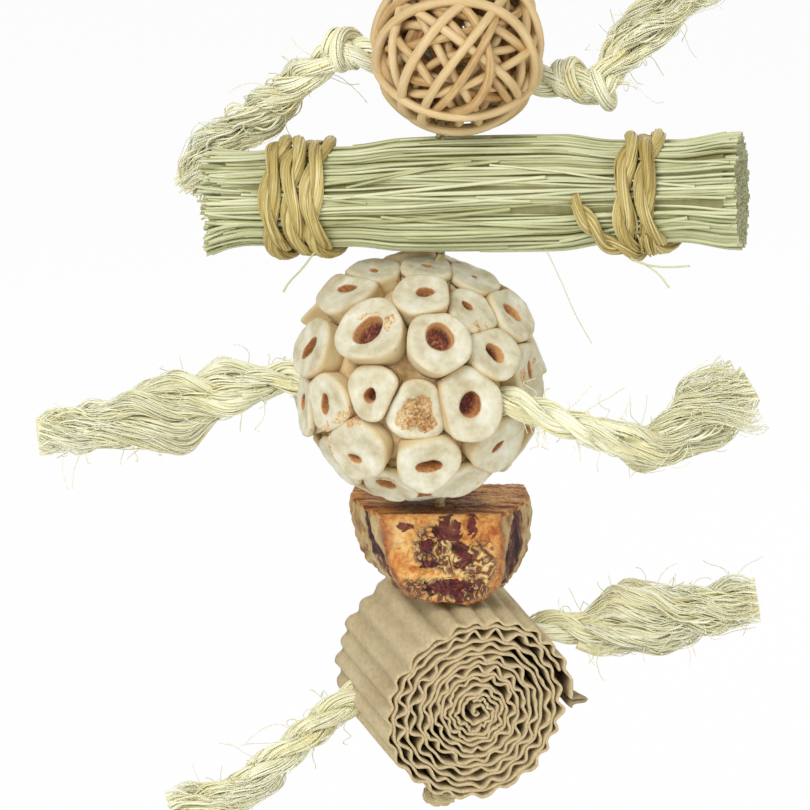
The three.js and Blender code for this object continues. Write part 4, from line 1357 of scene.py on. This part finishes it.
def makeSola():
    look = solaBall
    rng = np.random.default_rng(81)
    ways = stickWays()
    sizes = [look["size"].get(index + 1, 1.0) * rng.uniform(0.94, 1.06) for index in range(len(ways))]
    back = {"vertices": [], "faces": [], "attributes": {"pith": [], "side": [], "torn": []}}
    for index in range(len(ways)):
        vertices, faces, attributes = makeStick(index, ways, sizes, rng)
        if index < len(look["front"]):
            name = f"{index + 1:02d}"
            piece = meshPiece(f"solaStick{name}", vertices, faces, paints["sola"], attributes)
            fit(piece, "sola_ball", "sola", f"sola_stick_{name}")
        else:
            base = len(back["vertices"])
            back["vertices"] += vertices
            back["faces"] += [tuple(corner + base for corner in face) for face in faces]
            for key, values in attributes.items():
                back["attributes"][key] += values
    piece = meshPiece("solaBackSticks", back["vertices"], back["faces"], paints["sola"], back["attributes"])
    fit(piece, "sola_ball", "sola")
    ball = bmesh.new()
    bmesh.ops.create_icosphere(ball, subdivisions=5, radius=1)
    core = []
    for vertex in ball.verts:
        bumps = noise.fractal(vertex.co * 9, 1.0, 2.0, 3)
        core.append(tower["sola"] + np.array(vertex.co) * (look["core"] + 0.4 + 0.8 * bumps))
    faces = [tuple(corner.index for corner in face.verts) for face in ball.faces]
    ball.free()
    fit(meshPiece("solaCore", core, faces, paints["crevice"]), "sola_ball", "pith", "sola_core")
    ends = {side: tower["sola"] + unit(np.array(way, float)) * (look["radius"] + look["ropeProud"])
            for side, way in look["ropeWays"].items()}
    run = unit(ends["right"] - ends["left"])
    for order, (side, tail) in enumerate(solaTails.items()):
        inward = run if side == "left" else -run
        inside = [ends[side] + inward * deep for deep in look["ropeInside"]]
        ropeTail("sola", side, "sola_ball", inside, dict(tail, start=ends[side]), 91 + order)
    print("sola sticks:", len(ways))


makeSola()


# Wood and bark chunk

woodChunk = {
    "height": 25.7,
    "topWidth": 50.0,
    "frontWidth": 32.0,
    "front": 9.0,
    "back": 23.0,
    "boxy": 0.6,
    "round": 180,
    "rings": 64,
    "capRings": 34,
    # Open furrows in the bark beside the facet: where along, half width
    "furrows": {"left": (-2.2, 3.0), "right": (-1.6, 4.4)},
    "furrowDepth": 1.7,
    # Relief: how fine and how deep
    "lumpScale": 0.096,
    "lumpDepth": 0.9,
    "grainScale": 0.45,
    "barkGrain": 0.5,
    "facetGrain": 0.4,
    "wormScale": 0.33,
    "wormDepth": 1.5,
    "stripScale": (0.1, 0.8),
    "stripDepth": 0.7,
    "laneScale": (0.3, 0.55, 0.09),
    "laneDepth": 0.8,
    "wornEdge": 0.7,
}


def furrowAt(across, along, drop):
    look = woodChunk
    centre, half = look["furrows"]["left" if across < 0 else "right"]
    share = (drop - 0.01) / 0.9
    if not 0 < share < 1:
        return 0.0
    width = half * math.sin(math.pi * share) ** 0.6 + 0.05
    centre = centre + 0.7 * math.sin(share * 9) - 2.0 * (share - 0.5)
    return max(0.0, 1 - abs(along - centre) / width)


def makeWood():
    look = woodChunk
    deep, wide = look["height"], look["topWidth"]
    # Rows from front to back: along, lean, half width, depth, keel
    rows = np.array([
        (-look["front"], 4, look["frontWidth"] / 2, deep * 0.97, 3),
        (0, 1, wide * 0.43, deep, 3),
        (look["back"] * 0.5, 3, wide / 2, deep * 0.92, 2),
        (look["back"], 6, wide * 0.47, deep * 0.78, 1),
    ], float)
    lower = look["round"] * 2 // 3
    angle = np.linspace(0, math.pi, lower)
    down = np.concatenate([np.sin(angle) ** look["boxy"], np.zeros(look["round"] - lower)])
    side = np.concatenate([
        np.sign(np.cos(angle)) * np.abs(np.cos(angle)) ** look["boxy"],
        np.linspace(-1, 1, look["round"] - lower + 2)[1:-1],
    ])
    vertices = []
    marks = {"facet": [], "top": [], "furrow": [], "rim": []}

    def ring(row, shrink, isFacet, rim):
        along, lean, half, depth, keel = row
        middle = np.array([keel * 0.6, along - lean * 0.55, -depth * 0.48])
        for across, drop in zip(side, down):
            spot = np.array([half * across + keel * drop, along - lean * drop, -depth * drop])
            spot = middle + (spot - middle) * shrink
            isTop = drop <= 0.02 and not isFacet
            big = noise.noise(Vector(spot * look["lumpScale"] + 3))
            small = noise.fractal(Vector(spot * look["grainScale"]), 0.9, 2.1, 4)
            groove = 0.0 if isFacet or isTop else furrowAt(across, along, drop)
            if isFacet:
                out = np.array([0, -1.0, -0.05])
                worm = noise.turbulence(Vector(spot * look["wormScale"]), 3, False)
                push = (worm - 0.5) * look["wormDepth"] + small * look["facetGrain"]
                push = push * (1 - 0.8 * shrink**8)
            elif isTop:
                out = np.array([0, 0, 1.0])
                strip = noise.fractal(Vector((*(spot[:2] * look["stripScale"]), 0)), 0.9, 2.1, 3)
                push = -abs(small) * look["barkGrain"] - abs(strip) * look["stripDepth"] - 0.15
            else:
                outward = spot - np.array([0, along * 0.4, -depth * 0.35])
                out = unit(outward + 1e-6)
                lane = noise.fractal(Vector(spot * look["laneScale"]), 0.8, 2.0, 4)
                push = big * look["lumpDepth"] + small * look["barkGrain"] + lane * look["laneDepth"]
                push = push - groove**0.6 * look["furrowDepth"]
            vertices.append(spot + out * push + np.array([0, 0, tower["woodTop"]]))
            for key, value in (("facet", isFacet), ("top", isTop), ("furrow", groove), ("rim", rim)):
                marks[key].append(float(value))

    for share in np.linspace(0.03, 0.972, look["capRings"]):
        ring(rows[0], share, True, share**2)
    for place in np.linspace(0, len(rows) - 1, look["rings"]):
        low = min(int(place), len(rows) - 2)
        ease = place - low
        blend = ease * ease * (3 - 2 * ease) * 0.5 + ease * 0.5
        row = rows[low] * (1 - blend) + rows[low + 1] * blend
        row[0] += look["wornEdge"] * max(0, 1 - place * 8)  # round the facet
        ring(row, 1.0, False, max(0, 1 - place * 1.7))
    for share in np.linspace(1, 0.03, 10)[1:]:
        ring(rows[-1] + np.array([1.5 * (1 - share), 0, 0, 0, 0]), share, False, 0)
    piece = meshPiece("woodChunk", vertices, ringFaces(len(vertices), look["round"]), paints["wood"], marks)
    fit(piece, "chunk", "bark_wood", "wood_chunk")
    print("wood chunk made")


makeWood()


# Cardboard roll and its rope

boardRoll = {
    "radius": 29.8,
    "length": 45.0,
    "yaw": 18.5,
    "tilt": 6.0,
    "turns": 8,
    "grow": 1.12,
    "endShort": 0.4,
    "eye": 0.3,
    "thick": 0.68,
    "flute": 6.4,
    "fluteSamples": 12,
    "linerSamples": 8,
    "spiralSamples": 7000,
    "valley": 1.1,
    "valleyShade": 0.3,
    "slices": 16,
    "crush": 0.75,
    # Unevenness of the turns: how much, how fine, and where in the noise
    "lumps": [(0.8, 0.7, 5.1), (0.6, 2.3, 7.7), (0.36, 5.7, 1.4)],
    "fluteUneven": 0.34,
    "endRagged": 0.7,
    "gap": 0.05,
    "lastTurnFlatter": 0.36,
    # The sheet's end is folded out and back: angle past the end, and how far it stands out
    "fold": [(0.008, -0.2), (0.016, -0.2), (0.024, 0.3), (0.027, 1.2), (0.028, 2.2), (0.03, 3.2),
             (0.034, 4.0), (0.05, 4.4), (0.066, 4.0), (0.07, 3.2), (0.071, 2.2), (0.072, 1.2),
             (0.084, 0.2), (0.12, -0.3)],
}
rollRope = {"left": [-25.6, 7.4, -257.23], "right": [33.0, 11.0, -236.66]}
rollTails = {
    "left": {
        "route": [[1.4, 0, 0.4], [-7.6, -1.4, -6.4], [-14.6, -2.9, -12.4], [-22.6, -4.4, -18.9],
                  [-30.6, -6.4, -24.9], [-39.6, -8.4, -28.4], [-49.6, -10.4, -30.9]],
        "widths": [4.6, 4.8, 4.8, 4.9, 5.4, 6.2, 5.6],
        "frayFrom": 0.6,
    },
    "right": {
        "route": [[-1, 0, -0.4], [7, 0.4, -1.6], [15, 0.8, -0.8], [26, 1, 1.6], [36.5, 1, 3.6],
                  [47, 1, 6.1], [56, 1, 7.6]],
        "widths": [4.4, 7.6, 9.8, 10.4, 9, 7, 5],
        "frayFrom": 0.12,
    },
}


def makeRoll():
    look = boardRoll
    yaw, tilt = math.radians(look["yaw"]), math.radians(look["tilt"])
    axis = Vector((math.sin(yaw) * math.cos(tilt), -math.cos(yaw) * math.cos(tilt), -math.sin(tilt)))
    turned = np.array(Vector((0, 0, 1)).rotation_difference(axis).to_matrix())
    lastTurn = fullTurn * look["turns"] - look["endShort"]
    fine = np.linspace(0, lastTurn + fullTurn * 1.1, look["spiralSamples"])

    def unevenness(turns, pace, seed, level):
        return np.array([noise.noise(Vector((turn * pace, seed, level))) for turn in turns])

    def rough(pace, seed):
        return unevenness(fine, pace, seed, 0.3)

    # The liner winds outwards in pressed turns, and the fluted sheet fills the gap to the next turn
    spiral = look["eye"] + (look["radius"] - look["eye"]) * (fine / (lastTurn + fullTurn)) ** look["grow"]
    flute = look["flute"] * (0.6 + 0.4 * np.minimum(1, spiral / 16))
    flute = flute * (1 + look["fluteUneven"] * rough(1.1, 2.2))
    phase = np.concatenate([[0.0], np.cumsum(fullTurn * spiral / flute * (fine[1] - fine[0]))[:-1]])
    calm = np.minimum(1, fine / 6)
    lumps = sum(most * rough(pace, seed) for most, pace, seed in look["lumps"]) * calm
    liner = spiral + lumps + 0.3 * np.sin(phase) * calm
    bend = np.sin(phase + 0.5 * rough(3.1, 9.3) * np.cos(phase))
    pressed = np.clip(0.78 + 0.75 * rough(1.7, 3.9), 0.15, 1) * (0.35 + 0.65 * np.clip(spiral / 13, 0, 1))
    rise = np.clip(0.5 + 0.56 * bend * pressed + 0.45 * rough(2.9, 6.1), 0, 1)

    def sheet(name, turns, reachAt, node):
        # A sheet on a spiral, as long as the roll, with cut edges at both ends
        slices = np.linspace(-0.5, 0.5, look["slices"])
        count = len(turns)
        span = look["fluteSamples"] // 2
        vertices, edge, deep = [], [], []
        for shift in (look["thick"] / 2, -look["thick"] / 2):
            for part in slices:
                end = max(0, abs(part) * 2 - 0.8) / 0.2
                inside = min(1, (0.5 - abs(part)) * look["length"] / 9)
                reach = reachAt(part, end)
                valley = np.clip((runningMean(reach, span) - reach) / look["valley"], 0, 1)
                flat = np.column_stack([reach * np.cos(turns), -reach * np.sin(turns)])
                ahead = unit(np.gradient(flat, axis=0))
                flat = flat + shift * np.column_stack([-ahead[:, 1], ahead[:, 0]])
                for turn, dip, (x, y) in zip(turns, valley, flat):
                    ragged = noise.noise(Vector((turn * 6.0, 5.5, 0))) * look["endRagged"]
                    spot = np.array([x, y, part * (look["length"] + ragged)])
                    vertices.append(tower["roll"] + turned @ spot)
                    folded = turn > lastTurn + 0.02
                    edge.append(1.0 if abs(part) > 0.49 and not folded else 0.0)
                    hidden = shift < 0 or turn < lastTurn - fullTurn * 0.98
                    deep.append(0.6 if folded else inside if hidden else dip * look["valleyShade"])
        rows = len(slices)
        far = rows * count
        faces = gridFaces(rows, count) + gridFaces(rows, count, far)
        for place in range(count - 1):
            for row in (0, rows - 1):
                corner = row * count + place
                faces.append((corner, corner + 1, corner + 1 + far, corner + far))
        for row in range(rows - 1):
            for place in (0, count - 1):
                corner = row * count + place
                faces.append((corner, corner + count, corner + count + far, corner + far))
        piece = meshPiece(name, vertices, faces, paints["board"], {"edge": edge, "deep": deep})
        fit(piece, "cardboard_roll", "corrugated", node)

    flutePhases = np.arange(fullTurn, np.interp(lastTurn, fine, phase), fullTurn / look["fluteSamples"])
    fluteTurns = np.interp(flutePhases, phase, fine)
    linerPhases = np.arange(0, np.interp(lastTurn - 0.3, fine, phase), fullTurn / look["linerSamples"])
    linerTurns = np.interp(linerPhases, phase, fine)
    low = np.interp(fluteTurns, fine, liner) + look["thick"] + look["gap"]
    high = np.interp(fluteTurns + fullTurn, fine, liner) - look["thick"] - look["gap"]
    wave = np.interp(fluteTurns, fine, rise)
    outer = np.clip((fluteTurns - lastTurn + fullTurn) / 0.5, 0, 1)  # nothing presses on the last turn
    high = np.maximum(low + 0.1, high - outer * look["lastTurnFlatter"] * (high - low))
    foldTurns, foldRise = zip(*look["fold"])
    fluteTurns = np.concatenate([fluteTurns, lastTurn + np.array(foldTurns)])

    def fluteReach(part, end):
        sheetTurns = fluteTurns[:len(wave)]
        crush = unevenness(sheetTurns, 5.3, 9.1, part * 2.5)
        calmer = unevenness(sheetTurns, 1.3, 4.4, part * 3.0)
        share = np.clip(wave + crush * look["crush"] * end + calmer * 0.12, 0, 1)
        reach = low + (high - low) * share
        proud = 0.15 + 0.85 * max(0, part * 2) ** 2
        return np.concatenate([reach, reach[-1] + np.array(foldRise) * proud])

    linerReach = np.interp(linerTurns, fine, liner)
    sheet("rollLiner", linerTurns, lambda *_: linerReach, "roll_liner")
    sheet("rollFlutes", fluteTurns, fluteReach, "roll_fluted_sheet")
    ends = {side: np.array(place) for side, place in rollRope.items()}
    middle = (ends["left"] + ends["right"]) / 2
    for order, (side, tail) in enumerate(rollTails.items()):
        inside = [middle, (middle + ends[side]) / 2]
        tail = dict(tail, start=ends[side], exit=middle * 0.2 + ends[side] * 0.8)
        ropeTail("roll", side, "cardboard_roll", inside, tail, 101 + order)
    print("cardboard roll made")


makeRoll()


# Floor, light and camera

studio = {
    "floor": -420.0,
    "floorReach": 6000.0,
    "floorSteps": 24,
    "world": 0.5,
    # Lamps: where they stand from the target, in metres, power and size
    "lamps": {
        "keyLight": ((-0.55, -0.9, 0.75), 10.6, 0.7),
        "fillLight": ((0.9, -0.8, 0.1), 4.5, 0.9),
        "backLight": ((0.3, 0.9, 0.6), 4.5, 0.9),
    },
    "target": [-9.72, 0.0, -170.0],
    "distance": 3000.0,
    "elevation": 15.0,
    "lens": 480.0,
    "sensor": 36.0,
    "clip": (0.01, 20.0),
}


def makeFloor():
    paint = Paint("paleFloor")
    paint.done({"Base Color": (244, 244, 242), "Roughness": 0.9})
    path = paint.tree.nodes.new("ShaderNodeLightPath")
    seen = Wire(paint, path.outputs["Is Camera Ray"]) + Wire(paint, path.outputs["Is Glossy Ray"])
    seen = seen + Wire(paint, path.outputs["Is Transmission Ray"])
    glow = paint.node("ShaderNodeEmission", sockets={"Color": (255, 255, 255), "Strength": 1.0})
    shown = paint.node("ShaderNodeMixShader", sockets={
        0: paint.node("ShaderNodeMath", {"operation": "MULTIPLY", "use_clamp": True}, {0: seen, 1: 0.95}),
        1: Wire(paint, paint.shader.outputs[0]),
        2: glow,
    })
    output = paint.tree.nodes["Material Output"]
    paint.feed(output.inputs["Surface"], shown)
    reach, steps = studio["floorReach"], studio["floorSteps"]
    vertices = []
    for row in range(steps + 1):
        for column in range(steps + 1):
            x, y = (column / steps - 0.5) * 2 * reach, (row / steps - 0.5) * 2 * reach
            vertices.append((x, y, studio["floor"]))
    floor = meshPiece("paleFloor", vertices, gridFaces(steps + 1, steps + 1), paint.material)


def makeLight():
    world = bpy.data.worlds.new("studio")
    bpy.context.scene.world = world
    world.use_nodes = True
    nodes, links = world.node_tree.nodes, world.node_tree.links
    soft, white = nodes["Background"], nodes.new("ShaderNodeBackground")
    for shade, strength in ((soft, studio["world"]), (white, 1.0)):
        shade.inputs["Color"].default_value = (1, 1, 1, 1)
        shade.inputs["Strength"].default_value = strength
    path, mix = nodes.new("ShaderNodeLightPath"), nodes.new("ShaderNodeMixShader")
    links.new(path.outputs["Is Camera Ray"], mix.inputs[0])
    links.new(soft.outputs[0], mix.inputs[1])
    links.new(white.outputs[0], mix.inputs[2])
    links.new(mix.outputs[0], nodes["World Output"].inputs["Surface"])
    target = Vector(studio["target"]) * mm
    for name, (spot, power, size) in studio["lamps"].items():
        lamp = bpy.data.lights.new(name, "AREA")
        lamp.energy, lamp.size = power, size
        holder = bpy.data.objects.new(name, lamp)
        holder.location = target + Vector(spot)
        holder.visible_camera = False
        holder.rotation_euler = (-Vector(spot)).to_track_quat("-Z", "Y").to_euler()
        bpy.context.scene.collection.objects.link(holder)


def makeCamera():
    lens = bpy.data.cameras.new("photoView")
    lens.lens, lens.sensor_width = studio["lens"], studio["sensor"]
    lens.clip_start, lens.clip_end = studio["clip"]
    camera = bpy.data.objects.new("photoView", lens)
    tilt = math.radians(studio["elevation"])
    back = Vector((0, -math.cos(tilt), math.sin(tilt)))
    camera.location = Vector(studio["target"]) * mm + back * studio["distance"] * mm
    camera.rotation_euler = (-back).to_track_quat("-Z", "Y").to_euler()
    bpy.context.scene.collection.objects.link(camera)
    bpy.context.scene.camera = camera


makeFloor()
makeLight()
makeCamera()
bpy.context.scene.view_settings.view_transform = "Standard"
print("floor, light and camera made")
